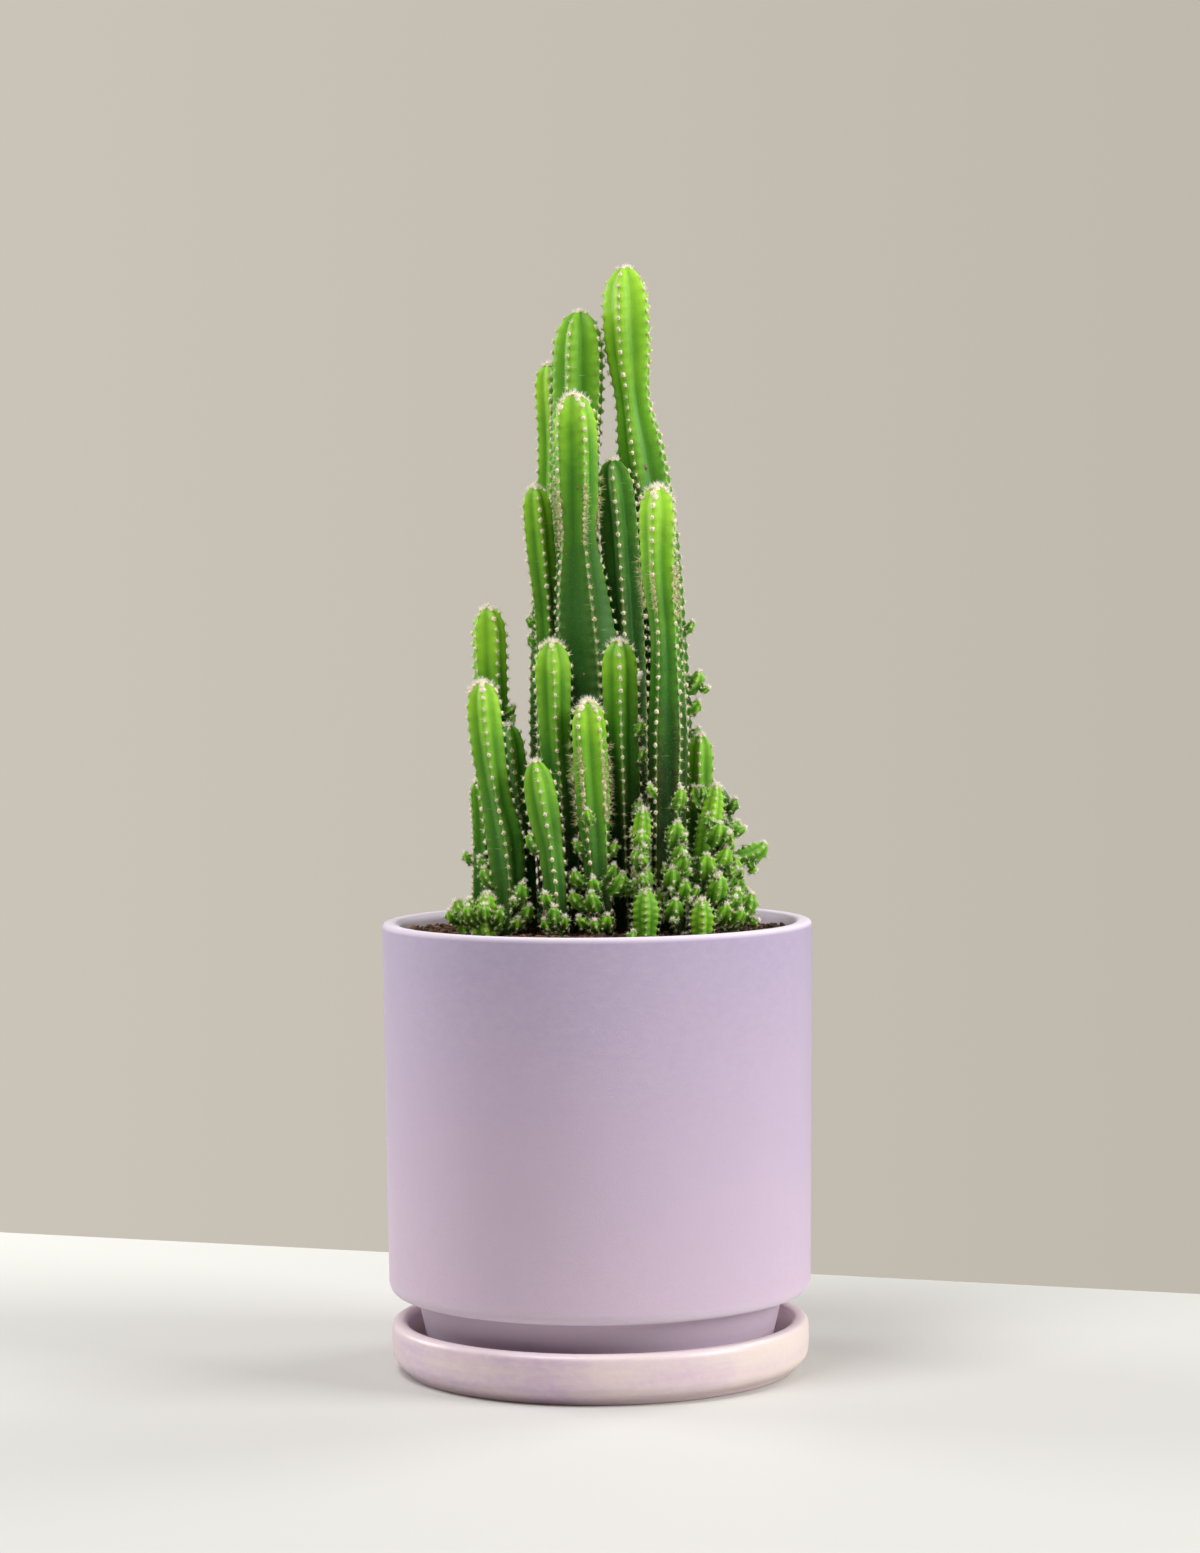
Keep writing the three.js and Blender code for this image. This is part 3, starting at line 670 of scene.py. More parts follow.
        axis=[(22.6, -36, 208, 5.2), (22.7, -36, 219, 6.7), (22.8, -36, 230.2, 5.9)],
        root=4.4, ribs=(0, 0), age_and_shade=(0.42, 0.85), crown=0.8,
    ),
    "pup_front_right": dict(
        axis=[(48.6, -34, 208, 5), (48.7, -34.5, 216, 6), (48.8, -35, 225, 5.5)],
        root=4.2, ribs=(5, 5), age_and_shade=(0.3, 0.75), crown=0.8,
    ),
    "pups_right": dict(
        axis=[(50.5, -12, 212, 7), (51.5, -13, 246, 6.6), (56.5, -11, 277, 4.6)],
        root=6, ribs=(10, 10), age_and_shade=(0.22, 0.8), crown=0.8,
        offsets=[
            (252, 28, 12, 7.5, 4.3), (249, 78, 10.5, 6, 3.6), (241, 48, 13, 6.5, 4.1),
            (236, 2, 15, 9, 4.3), (225, 22, 17, 11, 4.3), (254, 118, 16, 5, 3.6),
            (243, 100, 28, 6, 4.2), (221, 60, 18, 7, 4.1), (213, 87, 22, 12.5, 3.6),
            (268, -95, 9, 8, 3.6), (231, 82, 14.5, 12, 3.4), (215, 30, 20, 7, 3.3),
            (214, 54, 21, 5, 3.3), (222, 100, 17, 11, 3.6),
        ],
    ),
    "pups_left": dict(
        axis=[(-52, -23, 211, 5.6), (-51, -24, 228, 5.6)],
        root=4.6, ribs=(0, 0), age_and_shade=(0.15, 0.5), crown=0.8,
        offsets=[
            (215, -62, 9.5, 7, 2.8), (215, 50, 9, 6, 2.6), (217, -5, 8.5, 6, 2.8),
            (219, -90, 8, 6, 2.4),
        ],
    ),
    "pups_far_left": dict(
        axis=[(-62, -9, 211, 4), (-66, -10, 223.5, 4.2)],
        root=3.4, ribs=(0, 0), age_and_shade=(0.3, 0.6), crown=0.6,
        offsets=[(215, 20, 8, 7, 3), (214, -60, 8, 4, 2.6), (213, -120, 7, 6, 2.6)],
    ),
}
for name, plan in STEMS.items():
    root = (*plan["axis"][0][:2], ROOT_LEVEL, plan["root"])
    STEMS[name] = dict(furrow=FURROW, bloom=0.0, crowded=(0, 0), offsets=()) | plan
    STEMS[name]["axis"] = [root, *plan["axis"]]


def smooth_line(rows, t):
    """Catmull-Rom curve through `rows` at t from 0 to 1, each span taking the same share of t.

    With p0..p3 round a span: ((2p1) + (p2-p0)s + (2p0-5p1+4p2-p3)s^2 + (3p1-p0-3p2+p3)s^3) / 2. Past the
    ends the rows go on as 2 first - second.
    """
    padded = np.vstack([2 * rows[:1] - rows[1:2], rows, 2 * rows[-1:] - rows[-2:-1]])
    spans = len(rows) - 1
    where = np.clip(t, 0, 1) * spans
    span = np.minimum(where.astype(int), spans - 1)
    s = (where - span)[:, None]
    p0, p1, p2, p3 = (padded[span + k] for k in range(4))
    bent = (2 * p0 - 5 * p1 + 4 * p2 - p3) * s ** 2
    return (2 * p1 + (p2 - p0) * s + bent + (3 * p1 - p0 - 3 * p2 + p3) * s ** 3) / 2


class Column:
    """One ribbed body: where its skin is, at a length along the axis and at an angle round it."""

    def __init__(self, axis, ribs, seed, offset=True, furrow=FURROW):
        self.axis = np.asarray(axis, float)
        self.ribs = ribs
        self.seed = seed
        self.offset = offset
        self.furrow = furrow
        self.splits = OFFSET_SPLITS if offset else RIB_SPLITS
        self.pitch = OFFSET_PITCH if offset else AREOLE_PITCH
        self.t = np.linspace(0, 1, AXIS_STEPS)
        line = smooth_line(self.axis, self.t)[:, :3]
        self.gone = np.concatenate([[0], np.cumsum(np.linalg.norm(np.diff(line, axis=0), axis=1))])
        self.length = self.gone[-1]
        self.tip = (OFFSET_TIP_LENGTH if offset else TIP_LENGTH) * self.axis[-1, 3]
        self.blunt = OFFSET_TIP_BLUNT if offset else TIP_BLUNT

    def at(self, along):
        """Centre, tangent and crest radius at lengths along the axis. The tip closes in a dome."""
        t = np.interp(along, self.gone, self.t)
        row = smooth_line(self.axis, t)
        ahead = smooth_line(self.axis, np.minimum(t + 0.004, 1))[:, :3]
        behind = smooth_line(self.axis, np.maximum(t - 0.004, 0))[:, :3]
        near = np.clip(1 - (self.length - along) / self.tip, 0, 1)
        return row[:, :3], unit(ahead - behind), row[:, 3] * np.sqrt(1 - near ** self.blunt)

    def outward(self, tangent, angle):
        """The level direction (sin a, -cos a, 0), tipped by the least turn from +Z to the tangent."""
        x = np.sin(angle)
        y = -np.cos(angle)
        tx, ty, tz = tangent.T
        swing = (tx * y - ty * x) / (1 + tz)
        return stacked(x * tz - ty * swing, y * tz + tx * swing, -(tx * x + ty * y))

    def rib_angle(self, along, rib):
        """Angle of a rib's crest, which drifts evenly from the foot to the tip."""
        start, end = self.ribs
        return np.radians(start + (end - start) * along / self.length) + 2 * np.pi * rib / RIBS

    def teeth(self, along, rib):
        """Height of the toothed edge: a sharpened raised cosine with its peak at each areole."""
        phase = (along + self.pitch * (0.4 * rib + 0.13 * self.seed)) / self.pitch
        wave = 0.5 + 0.5 * np.cos(2 * np.pi * phase)
        return wave ** 1.3 - 0.45

    def skin(self, along, rib, side):
        """Points of the skin. `side` runs from -1 to 1 across a rib, 0 on its crest and 1 in the furrow.

        The radius is crest * (f + (1-f) * (0.5 (1-w)^1.5 + 0.25 (1 + cos pi w))), a sharp crest and a
        soft furrow, with w the softened distance from the crest. The teeth add to it close to the crest.
        """
        centre, tangent, radius = self.at(along)
        w = np.sqrt(side ** 2 + 0.006) - 0.0775
        w = np.clip(w / (math.sqrt(1.006) - 0.0775), 0, 1)
        full = 0.5 * (1 - w) ** 1.5 + 0.25 * (1 + np.cos(np.pi * w))
        star = self.furrow + (1 - self.furrow) * full
        fade = np.clip(radius / self.axis[-1, 3], 0, 1)
        by_radius, by_fade, reach = OFFSET_TOOTH if self.offset else TOOTH
        tooth = by_radius * radius + by_fade * fade
        edge = tooth * self.teeth(along, rib) * np.exp(-(w / reach) ** 2)
        angle = self.rib_angle(along, rib) + side * np.pi / RIBS
        return centre + self.outward(tangent, angle) * (radius * star + edge)[:, None]

    def rings(self):
        """Lengths of the rings: even up to the dome, then even in its angle so that it closes round."""
        straight = max(self.length - self.tip, 1e-3)
        step = RING_STEP * min(1.0, self.pitch / 5)
        buried = np.clip(SOIL_LEVEL - 5 - self.axis[0, 2], 0, straight)
        low = np.concatenate([np.arange(0, buried, 6.0), np.arange(buried, straight, step)])
        bend = np.linspace(0, np.pi / 2, max(9, int(self.tip / (0.62 * step))))
        return np.concatenate([low, straight + self.tip * np.sin(bend[:-1])])

    def grid(self):
        """Points, faces and marks of the whole body, with a foot and a tip point that close it."""
        lengths = self.rings()
        half = len(self.splits)
        side = np.tile(np.concatenate([self.splits, [1.0], -self.splits[:0:-1]]), RIBS)
        rib = np.tile(np.concatenate([np.zeros(half + 1), np.ones(half - 1)]), RIBS)
        rib = (rib + np.repeat(np.arange(RIBS), 2 * half)) % RIBS
        lines = len(lengths)
        along = np.repeat(lengths, len(side))
        skin = self.skin(along, np.tile(rib, lines), np.tile(side, lines))
        points = np.vstack([skin, self.at(np.array([0.0, self.length]))[0]])
        crest = np.concatenate([np.tile(1 - np.abs(side), lines), [0, 1]])
        from_tip = np.concatenate([self.length - along, [self.length, 0]])
        return points, *ring_faces(lines, len(side)), crest, from_tip


def offset_column(stem, row, index, seed):
    """A stout offset: it leaves the stem sideways, with its root sunk in it, and bends up to its tip."""
    height, side, reach, rise, radius = row
    base, top = stem.axis[0, 2], stem.axis[-1, 2]
    root = stem.at(np.array([(height - base) / (top - base) * stem.length]))[0][0]
    heading = math.radians(side)
    bend = [(OFFSET_SUNK / reach, -0.45, 0.6), (0.7, -0.05, 1), (0.94, 0.5, 1.12), (1, 1, 1)]
    out, up, share = np.transpose(bend)
    axis = stacked(
        root[0] + reach * out * math.sin(heading), root[1] - reach * out * math.cos(heading),
        root[2] + rise * up, radius * share,
    )
    turn = index * OFFSET_TURN
    return Column(axis, (turn, turn), seed)


def skin_frames(column, along, rib, side):
    """Place, outward normal, upward and sideways directions on the skin, from short steps along it."""
    here = column.skin(along, rib, side)
    above = column.skin(np.minimum(along + 0.4, column.length), rib, side)
    below = column.skin(np.maximum(along - 0.4, 0), rib, side)
    up = unit(above - below)
    out = here - column.at(along)[0]
    out = unit(out - up * np.sum(out * up, 1, keepdims=True))
    return here, out, up, np.cross(out, up)


def bud_column(offset, seed):
    """A bud on the upper half of an offset: it swells out of a rib and turns up towards the light."""
    along = np.array([offset.length * sprout.uniform(0.35, 0.72)])
    frames = skin_frames(offset, along, np.array([seed % RIBS]), np.zeros(1))
    here, out, up, across = (part[0] for part in frames)
    size = offset.axis[-1, 3] * sprout.uniform(0.4, 0.58)
    up = up + sprout.uniform(-0.6, 0.6) * across + [0, 0, 0.5]
    rows = [
        [*(here - 1.2 * size * out), 0.8 * size], [*(here + size * (0.9 * out + 0.5 * up)), size],
        [*(here + size * (1.2 * out + 1.7 * up)), size],
    ]
    turn = sprout.uniform(0, 360 / RIBS)
    return Column(rows, (turn, turn), seed)


def columns_of(name, plan):
    """The stem's own column, its offsets and their buds. A clump's first column is an offset too."""
    own_seed = sum(map(ord, name)) % SEEDS
    clump = name.startswith("pup")
    stem = Column(plan["axis"], plan["ribs"], own_seed, clump, plan["furrow"])
    if clump:
        stem.tip = CLUMP_TIP_LENGTH * stem.axis[-1, 3]
    offsets = [offset_column(stem, row, i, own_seed + i) for i, row in enumerate(plan["offsets"])]
    budding = [column for column in [stem] * clump + offsets if column.axis[-1, 3] > BUDDING_RADIUS]
    buds = [
        bud_column(column, own_seed + 2 * i + rib)
        for i, column in enumerate(budding) for rib in BUD_RIBS
    ]
    return stem, offsets + buds


def joined(parts, face_lists):
    """Puts meshes together. Each is a row of its points, `face_lists` lists of faces, and its marks."""
    starts = np.cumsum([0] + [len(part[0]) for part in parts[:-1]])
    return [
        np.concatenate([
            part[k] + (start if 0 < k <= face_lists else 0) for part, start in zip(parts, starts)
        ])
        for k in range(len(parts[0]))
    ]


def flesh_piece(name, plan, stem, offsets):
    """One mesh of a stem and its offsets, marked with crest, age and bloom for the material.

    A stem's mark runs from that of its tip to that of its foot by the power 0.75 of the length gone. An
    offset's starts at 0.24, or a little more by its seed, and rises by the power 1.2. Below about 1 the
    mark stands for how old the skin is; past it, low on the stems and at the roots of offsets, it is
    painted shade.
    """
    parts = []
    for column in [stem, *offsets]:
        points, fours, threes, crest, from_tip = column.grid()
        tip_age, foot_age_and_shade = plan["age_and_shade"]
        if column is stem:
            gone = np.clip((from_tip - 12) / (0.8 * (column.length - 25)), 0, 1)
            age_and_shade = tip_age + (foot_age_and_shade - tip_age) * gone ** 0.75
            bloom = plan["bloom"] * np.clip((gone - 0.2) / 0.3, 0, 1)
        else:
            gone = np.clip(from_tip / column.length, 0, 1)
            age_and_shade = 0.24 + 0.95 * gone ** 1.2 + 0.035 * (column.seed % 7)
            bloom = 0 * age_and_shade
        parts.append((points, fours, threes, crest, age_and_shade, bloom))
    points, fours, threes, crest, age_and_shade, bloom = joined(parts, 2)
    marks = {"crest": crest, "age_and_shade": age_and_shade, "bloom": bloom}
    return into_mesh(f"{name}.flesh", points, fours, threes, marks)


def cactus_skin(name, fresh, ripe, old, gloss):
    """Waxy skin that runs from fresh through ripe to old along the age mark and on to a painted
    near-black shade past it, with a painted glow on the flanks, painted shade in the furrows and pale
    rib edges.
    """
    skin, surface, place = finish_of(name)
    patches = noise(place, 60, 4, 0.6)
    age_and_shade = maths(marked(surface, "age_and_shade"), between(patches, 0.3, 0.7, -0.12, 0.12), "ADD")
    crest = marked(surface, "crest")
    young = blended(between(age_and_shade, 0.0, 0.42), fresh, ripe)
    grown_old = blended(between(age_and_shade, 0.42, 0.95), young, old)
    # Painted shade: from a mark of 0.95 to 1.35 the flesh turns near-black, as shade low between the
    # stems and at the roots of offsets.
    body = blended(between(age_and_shade, 0.95, 1.35), grown_old, (7, 24, 5))
    streaky = noise(stretched(place, (260, 260, 60)), 1.0, 4, 0.65)
    # A painted glow lightens the flanks near the tip, and painted shade darkens the furrow.
    glow = maths(between(crest, 0.3, 0.75), between(age_and_shade, 0.0, 0.8, 0.5, 0.1))
    flanked = blended(maths(glow, between(streaky, 0.3, 0.7)), body, (176, 216, 66))
    furrow_shade = maths(between(crest, 0.0, 0.5, 1.0, 0.0), between(age_and_shade, 0.0, 0.45, 0.2, 0.5))
    shaded = blended(furrow_shade, flanked, (26, 90, 8))
    waxy = maths(marked(surface, "bloom"), between(patches, 0.35, 0.65, 0.15, 0.75))
    bloomed = blended(waxy, shaded, (76, 128, 52))
    edged = blended(between(crest, 0.88, 1.0, 0.0, 0.45), bloomed, (170, 200, 112))
    pores = noise(place, 1500, 2, 0.5)
    speckled = blended(between(pores, 0.58, 0.75, 0.0, 0.22), edged, (148, 188, 88))
    # Old rubs show as short pale lines across the stem, old wounds as small corky spots.
    rubs = noise(stretched(place, (70, 70, 1300)), 1.0, 2, 0.5)
    rubbed = blended(between(rubs, 0.72, 0.78, 0.0, 0.4), speckled, (206, 222, 170))
    wounds = noise(place, 260, 2, 0.5)
    feed(
        surface, Base_Color=blended(between(wounds, 0.765, 0.79, 0.0, 0.8), rubbed, (112, 92, 58)),
        Roughness=between(streaky, 0.25, 0.8, gloss - 0.08, gloss + 0.1), Specular_IOR_Level=0.22,
        Subsurface_Weight=0.2, Subsurface_Radius=(0.5, 1.0, 0.12), Subsurface_Scale=0.0035,
    )
    grain(surface, maths(maths(pores, 0.4), maths(streaky, patches, "ADD"), "ADD"), 0.4, 0.0008)
    return skin


SKINS = {
    "flesh_young": cactus_skin("young_cactus_skin", (154, 208, 48), (108, 170, 34), (62, 120, 24), 0.44),
    "flesh_green": cactus_skin("green_cactus_skin", (150, 206, 48), (102, 164, 32), (52, 110, 22), 0.46),
    "flesh_old": cactus_skin("old_cactus_skin", (148, 204, 48), (84, 148, 30), (34, 84, 18), 0.52),
}
OLD_STEMS = (
    "stem_front_tall", "stem_dark_centre", "stem_behind_left", "stem_stub_right", "stem_rear_left",
)
YOUNG_STEMS = ("stem_front_centre", "stem_outer_left")


def skin_slot(name):
    """The material slot of a stem's flesh."""
    if name in OLD_STEMS:
        return "flesh_old"
    return "flesh_young" if name in YOUNG_STEMS or name.startswith("pup") else "flesh_green"


grown = {name: columns_of(name, plan) for name, plan in STEMS.items()}
for name, (stem, offsets) in grown.items():
    flesh = flesh_piece(name, STEMS[name], stem, offsets)
    flesh.data.materials.append(SKINS[skin_slot(name)])
    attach(flesh, "root")
    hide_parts(name)


# Scabs: old wounds on the stems have healed over as small brown corky lumps. Each stem's are listed as
# (share of its length, rib, place across the rib, radius).

SCABS = {
    "stem_back_centre": [(0.5, 2, 0.3, 1.4)],
    "stem_front_right": [(0.62, 1, 0.5, 0.9)],
    "stem_front_tall": [(0.52, 0, -0.7, 1.0), (0.84, 0, -0.5, 0.9)],
    "stem_left_front": [(0.44, 0, 0.45, 0.9)],
    "stem_short_left": [(0.6, 3, 0.5, 1.0)],
    "stem_tallest": [(0.715, 0, 0.62, 1.5), (0.69, 0, -0.2, 1.2), (0.9, 1, 0.4, 0.8)],
}
SCAB_SHAPE = (1, 1.3, 0.33)


def laid(frames, shape):
    """A small shape on every frame of a skin: its x runs across the rib, its y along it, its z out."""
    here, out, up, across = (part[:, None] for part in frames)
    return (here + shape[..., :1] * across + shape[..., 1:2] * up + shape[..., 2:] * out).reshape(-1, 3)


def scabs(name, rows):
    """Flat lumps on the skin of one stem: icosahedra with random corners, pressed to a third."""
    stem = grown[name][0]
    share, rib, side, radius = np.transpose(rows)
    frames = skin_frames(stem, share * stem.length, rib, side)
    shape = ICOSAHEDRON * sprout.uniform(0.6, 1.1, (len(rows), 12, 1)) * radius[:, None, None]
    faces = copies(ICOSAHEDRON_FACES, len(rows))
    return into_mesh(f"{name}.scabs", laid(frames, shape * SCAB_SHAPE), (), faces)


def cellular(name, roughness, scale, high, low_tone, high_tone):
    """A dull finish of fine cells, in two colours."""
    material, surface, place = finish_of(name, roughness)
    cells = noise(place, scale, 4, 0.7)
    feed(surface, Base_Color=blended(between(cells, 0.35, high), low_tone, high_tone))
    grain(surface, cells, 0.8, 0.0006)
    return material


cork = cellular("healed_cork", 0.85, 1600, 0.7, (60, 42, 24), (168, 142, 100))
for name, rows in SCABS.items():
    scab_piece = scabs(name, rows)
    scab_piece.data.materials.append(cork)
    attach(scab_piece, "root")


# Perlite: one loose white flake of this light foamed mineral, from the potting mix, has caught on the
# right rib of a middle stem, a little under its tip.

FLAKE_STEM = "stem_short_centre"
FLAKE_SHARE = 0.9
FLAKE_RIB = 1
FLAKE_PROUD = 1.2
FLAKE_HALF_SIZES = (1.8, 3.1, 2.0)


def perlite_flake():
    """An icosahedron with random corners, stretched along the rib and sunk a little into its crest."""
    stem = grown[FLAKE_STEM][0]
    place = (np.array([FLAKE_SHARE * stem.length]), np.array([FLAKE_RIB]), np.zeros(1))
    here, out, up, across = skin_frames(stem, *place)
    shape = ICOSAHEDRON * sprout.uniform(0.6, 1.15, (12, 1)) * FLAKE_HALF_SIZES
    points = laid((here + FLAKE_PROUD * out, out, up, across), shape)
    return into_mesh(f"{FLAKE_STEM}.perlite", points, (), ICOSAHEDRON_FACES)


perlite = cellular("white_perlite", 0.9, 1400, 0.6, (206, 202, 192), (246, 245, 240))
flake = perlite_flake()
flake.data.materials.append(perlite)
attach(flake, "root")


# Areoles: at every tooth of a rib sits a small cushion of cream wool, brown at its heart, and from it
# stand five to ten short stiff spines. They crowd together and grow woollier on the growing tips.

# Radius of the wool, length of a spine, and how many spines stand on an areole of the flank and on one
# of the crown.
STEM_AREOLES = (0.88, 2.1, 6, 10)
OFFSET_AREOLES = (0.46, 0.8 * 2.1, 5, 5)
SPINE_THICK = 0.15
# Tones of a spine at its foot and its tip, from 0.8, tan, to 1, nearly white.
PALE_TIPPED = (0.84, 1.0)
TAN = (0.8, 0.86)
PALE = (0.94, 1.0)
BUNCH = 9
STRAY_BRISTLES = 9
STRAY_LENGTH = 4.0
CROWD_EDGE = 6
OFFSET_CROWN = 0.3
BUD_CROWN = 0.15
BUD_RADIUS = 2.3
spread = np.random.default_rng(5)


def areole_places(column, low, high):
    """Lengths and ribs of the areoles on a column's teeth, with one more between each two that crowd."""
    lengths = []
    ribs = []
    for rib in range(RIBS):
        shift = column.pitch * (0.4 * rib + 0.13 * column.seed)
        first = math.ceil(shift / column.pitch)
        teeth = np.arange(first, first + 400) * column.pitch - shift
        teeth = teeth[(teeth > 0) & (teeth < column.length - 0.12 * column.tip)]
        between_teeth = (teeth[:-1] + teeth[1:]) / 2
        height = column.at(between_teeth)[0][:, 2]
        every = np.concatenate([teeth, between_teeth[(height > low) & (height < high)]])
        lengths.append(every)
        ribs.append(np.full(len(every), rib))
    return np.concatenate(lengths), np.concatenate(ribs)


def crown_frames(column, amount):
    """Frames of the crowded areoles on the growing tip: rows on every crest that close on the apex.

    A row at share v of the tip's radius lies at length - dome * (1 - (1 - v^2)^(1/blunt)) of the axis.
    """
    shares = np.array([0.1, 0.28, 0.44, 0.6, 0.75])[: 1 + round(4 * amount)]
    rib = np.tile(np.arange(RIBS), len(shares))
    share = np.repeat(shares, RIBS) + spread.uniform(-0.06, 0.06, len(rib))
    along = column.length - column.tip * (1 - (1 - share ** 2) ** (1 / column.blunt))
    here = column.skin(along, rib, spread.uniform(-0.22, 0.22, len(rib)))
    centre, tangent = column.at(along)[:2]
    out = unit(here - (centre - tangent * column.axis[-1, 3] * 0.8))
    across = unit(np.cross(out, [0.3, 0.9, 0.1]))
    return here, out, np.cross(across, out), across


# A cushion has two rings of five corners, a top point and a hidden bottom point.
CUSHION_TURN = np.radians(np.arange(0, 360, 72))
CUSHION = np.vstack([
    stacked(np.cos(CUSHION_TURN), np.sin(CUSHION_TURN), -0.25),
    stacked(0.78 * np.cos(CUSHION_TURN + 0.5), 0.78 * np.sin(CUSHION_TURN + 0.5), 0.42),
    [[0, 0, 0.62], [0, 0, -0.6]],
])
CUSHION_TONE = np.array([0.55] * 5 + [0.5] * 5 + [0.0, 0.5])
corner = np.arange(5)
next_corner = (corner + 1) % 5
CUSHION_FACES = np.vstack([
    stacked(corner, next_corner, corner + 5), stacked(next_corner, next_corner + 5, corner + 5),
    stacked(corner + 5, next_corner + 5, 10), stacked(next_corner, corner, 11),
])
SPINE_CORNERS = np.radians([0, 120, 240])
SPINE_FACES = np.array([(0, 1, 3), (1, 2, 3), (2, 0, 3), (0, 2, 1)])


def wool(frames, size, heart=0.0):
    """A cushion with jittered corners on each areole. `heart` is its lowest tone, and 0 is brown."""
    count = len(frames[0])
    size = size * spread.uniform(0.65, 1.3, count)
    shape = CUSHION * spread.uniform(0.75, 1.25, (count, 12, 1)) * size[:, None, None] * (1, 1.15, 1)
    tone = np.tile(np.maximum(CUSHION_TONE, heart), count)
    return laid(frames, shape), copies(CUSHION_FACES, count), tone


def spines(frames, number, length, lowest, highest, tones=PALE_TIPPED):
    """Cones of three sides that leave their areole at random angles round it and lean out from it."""
    length = np.repeat(np.broadcast_to(length, len(frames[0])), number)
    here, out, up, across = (np.repeat(part, number, 0) for part in frames)
    count = len(here)
    length = length * spread.uniform(0.55, 1.3, count)
    turn = np.tile(np.arange(number) * 2 * np.pi / number, count // number)
    turn = turn + spread.normal(0, 0.35, count)
    lean = np.radians(spread.uniform(lowest, highest, count))
    flat = np.cos(turn)[:, None] * across + np.sin(turn)[:, None] * up
    way = np.cos(lean)[:, None] * out + np.sin(lean)[:, None] * flat
    first = unit(np.cross(way, flat))
    second = np.cross(way, first)
    base = here + flat * 0.3
    ring = [base + SPINE_THICK * (math.cos(a) * first + math.sin(a) * second) for a in SPINE_CORNERS]
    points = np.stack([*ring, here + way * length[:, None]], 1).reshape(-1, 3)
    return points, copies(SPINE_FACES, count), np.tile([tones[0]] * 3 + [tones[1]], count)


def stray_bristles(column):
    """Frames of old bristles that have dropped and lie flat on the flanks between the ribs."""
    along = spread.uniform(0.25, 0.95, STRAY_BRISTLES) * column.length
    rib = spread.integers(0, RIBS, STRAY_BRISTLES)
    here, out, up, across = skin_frames(column, along, rib, spread.uniform(0.25, 0.75, STRAY_BRISTLES))
    return here + 0.3 * out, out, up, across


def areoles_on(column, crown, low, high):
    """Wool and spines on a column's teeth and tip. They crowd between the heights `low` and `high`."""
    size, length, few, many = OFFSET_AREOLES if column.offset else STEM_AREOLES
    along, rib = areole_places(column, low, high)
    along = along + spread.uniform(-0.3, 0.3, len(along))
    frames = skin_frames(column, along, rib, spread.uniform(-0.04, 0.04, len(along)))
    shown = frames[0][:, 2] > SOIL_LEVEL - 2
    frames = tuple(part[shown] for part in frames)
    height = frames[0][:, 2]
    near_tip = 1 - np.clip((column.length - along[shown]) / max(column.tip, 1), 0, 1)
    crowd = (height > low - CROWD_EDGE) & (height < high + CROWD_EDGE)
    parts = [
        wool(frames, size * (1 + 0.15 * crown * near_tip)),
        spines(frames, few, length * (1 + 0.3 * crown * near_tip + 0.55 * crowd), 35, 84),
    ]
    if crowd.any():
        crowded = tuple(part[crowd] for part in frames)
        parts.append(spines(crowded, BUNCH, 1.7 * length, 10, 75, TAN))
    top = crown_frames(column, crown)
    parts.append(wool(top, (0.9 + 0.6 * crown) * size, 0.5))
    parts.append(spines(top, many, (1.0 + 0.45 * crown) * length, 5, 70, PALE))
    if not column.offset:
        parts.append(spines(stray_bristles(column), 1, STRAY_LENGTH, 86, 93))
    return parts


def areole_piece(name, plan, stem, offsets):
    """Wool and spines of a stem and its offsets as one mesh, marked with a tone for the material."""
    parts = areoles_on(stem, plan["crown"], *plan["crowded"])
    for column in offsets:
        crown = OFFSET_CROWN if column.axis[-1, 3] > BUD_RADIUS else BUD_CROWN
        parts += areoles_on(column, crown, 0, 0)
    points, faces, tone = joined(parts, 1)
    return into_mesh(f"{name}.areoles", points, (), faces, {"tone": tone})


fleece, fleece_surface, fleece_place = finish_of("areole_wool_and_spines", 0.75)
fuzz = noise(fleece_place, 2600, 3, 0.6)
tone_mark = marked(fleece_surface, "tone")
heart = blended(between(tone_mark, 0.0, 0.5), (140, 96, 60), (232, 214, 178))
woolly_colour = blended(between(fuzz, 0.35, 0.65, 0.0, 0.6), heart, (252, 243, 224))
spine_colour = blended(between(tone_mark, 0.8, 1.0), (206, 184, 98), (252, 248, 230))
feed(
    fleece_surface, Base_Color=blended(between(tone_mark, 0.62, 0.74), woolly_colour, spine_colour),
    Subsurface_Weight=0.15, Subsurface_Radius=(1.0, 0.8, 0.5), Subsurface_Scale=0.0012,
)
grain(fleece_surface, fuzz, 0.6, 0.0005)

for name, (stem, offsets) in grown.items():
    areoles = areole_piece(name, STEMS[name], stem, offsets)
    areoles.data.materials.append(fleece)
    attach(areoles, "root")


# Table and light: a plain off-white tabletop whose far edge runs back to the left, against an even
# beige background. A broad soft light stands low on the right, one above the front, and one behind on
# either side.

TABLE_CORNERS = [(-3000, 1332, 0), (3000, -760, 0), (3000, -5000, 0), (-3000, -5000, 0)]
ROOM_LIGHT = 0.34

floor = into_mesh("tabletop", TABLE_CORNERS, [(0, 3, 2, 1)])
paint, paint_surface, paint_place = finish_of("pale_table_paint", 0.6)
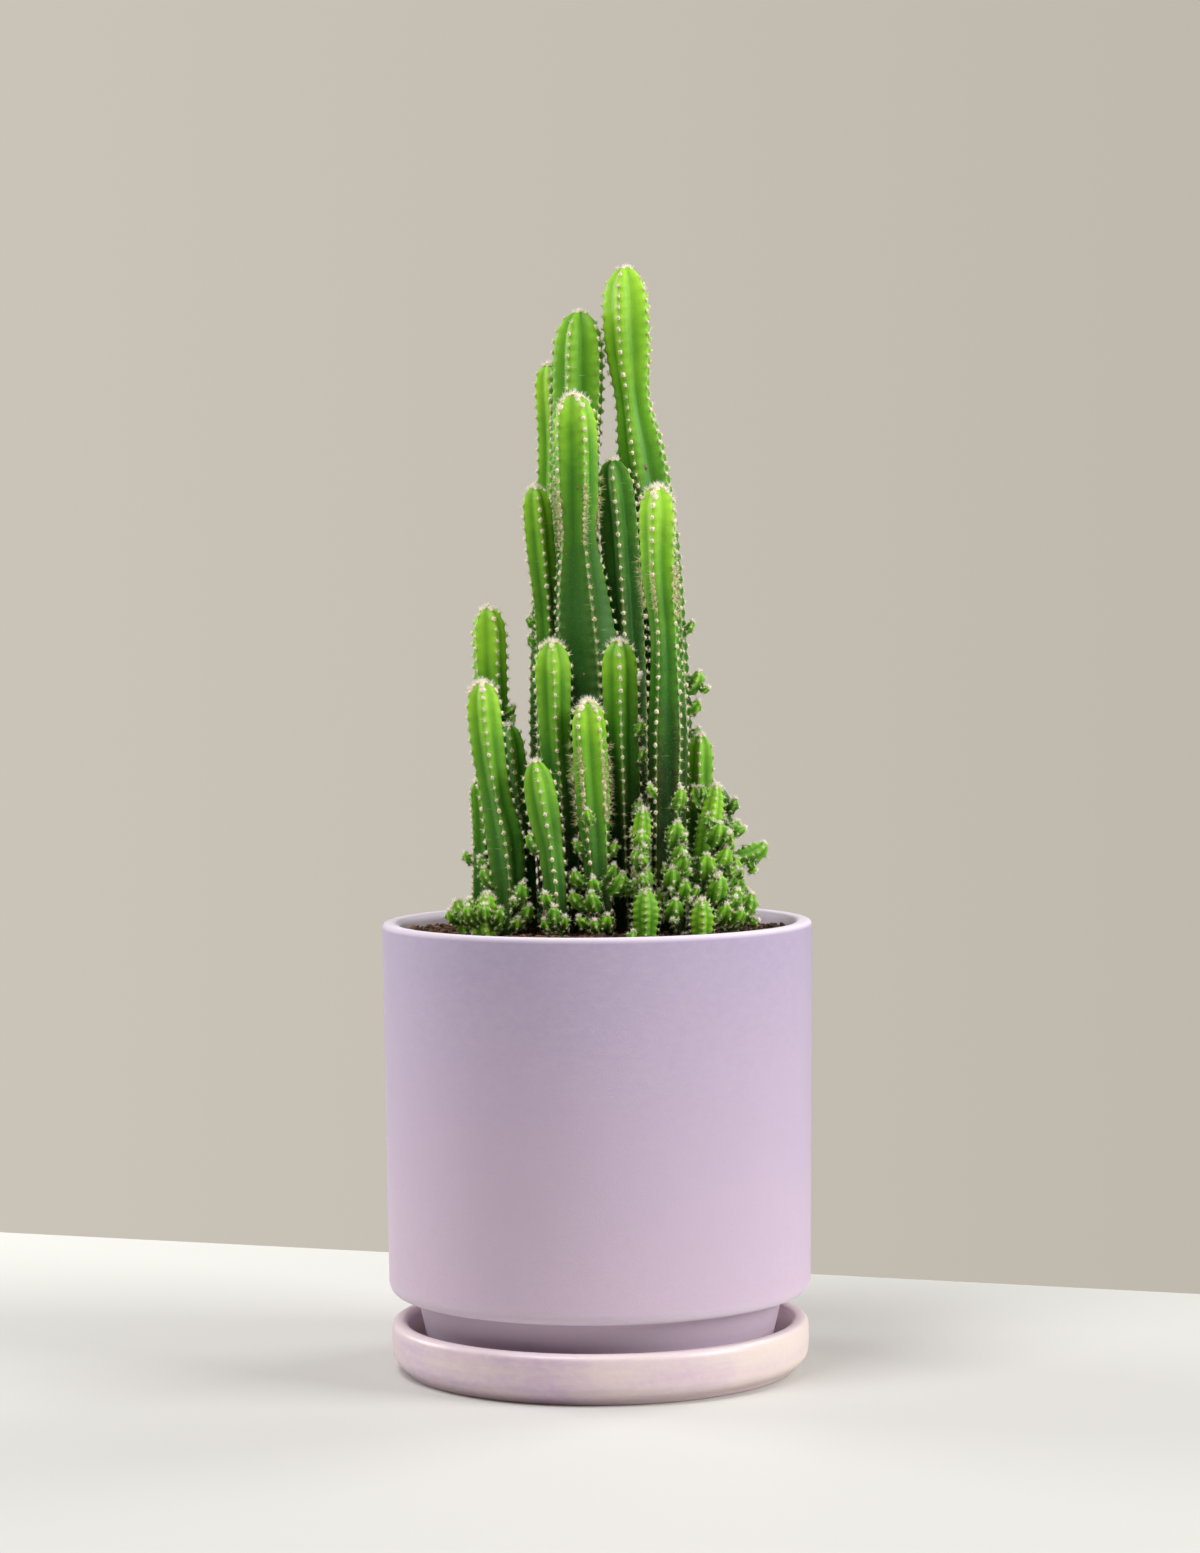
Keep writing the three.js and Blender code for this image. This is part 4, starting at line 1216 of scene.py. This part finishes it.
# Painted light: the table is painted a shade lighter towards the far left and darker towards the near
# right.
paint_axes = axes(paint_place)
far_left = maths(paint_axes["Y"], paint_axes["X"], "SUBTRACT")
painted_light_far_left = between(maths(far_left, maths(noise(paint_place, 3, 3), 0.2), "ADD"), 0.1, 1.1)
feed(paint_surface, Base_Color=blended(painted_light_far_left, (200, 199, 195), (228, 227, 223)))
floor.data.materials.append(paint)

# The eye sees an even beige wall, a little darker to the right. The plant gets only a part of its light.
world = bpy.data.worlds.new("studio")
world.use_nodes = True
bpy.context.scene.world = world
backdrop = world.node_tree.nodes["Background"]
to_right = between(axes(add(backdrop, "ShaderNodeTexCoord").outputs["Generated"])["X"], -0.17, 0.17)
camera_ray = add(backdrop, "ShaderNodeLightPath").outputs["Is Camera Ray"]
feed(
    backdrop, Color=blended(to_right, (203, 196, 185), (191, 184, 172)),
    Strength=between(camera_ray, 0.0, 1.0, ROOM_LIGHT, 1.0),
)
bpy.context.scene.view_settings.view_transform = "Standard"


def soft_light(name, place, aim, width, power):
    """A square area light of a given width in metres, turned to face a point."""
    lamp = bpy.data.lights.new(name, "AREA")
    lamp.size = width
    lamp.energy = power
    holder = bpy.data.objects.new(name, lamp)
    bpy.context.scene.collection.objects.link(holder)
    way = np.array(aim) - np.array(place)
    holder.location = place
    holder.rotation_euler = (
        math.atan2(math.hypot(way[0], way[1]), -way[2]), 0, math.atan2(way[1], way[0]) - math.pi / 2,
    )


soft_light("low_right", (3.2, -1.2, 1.85), (0, 0, 0.2), 1.9, 138)
soft_light("behind_right", (1.7, 1.1, 1.9), (0, 0, 0.25), 1.0, 24)
soft_light("behind_left", (-2.2, 1.0, 1.1), (0, 0, 0.25), 1.2, 36)
soft_light("above_front", (-1.2, -1.3, 3.3), (0, 0, 0.1), 1.5, 88)

# The camera stands 1.83 m in front of the pot, a little above its rim, and looks slightly down.
camera_data = bpy.data.cameras.new("camera")
camera_data.sensor_width = 36
camera_data.lens = 89.7
camera = bpy.data.objects.new("camera", camera_data)
camera.location = (0.0026, -1.827, 0.363)
camera.rotation_euler = (math.radians(90 - 2.58), math.radians(0.46), 0)
bpy.context.scene.collection.objects.link(camera)
bpy.context.scene.camera = camera
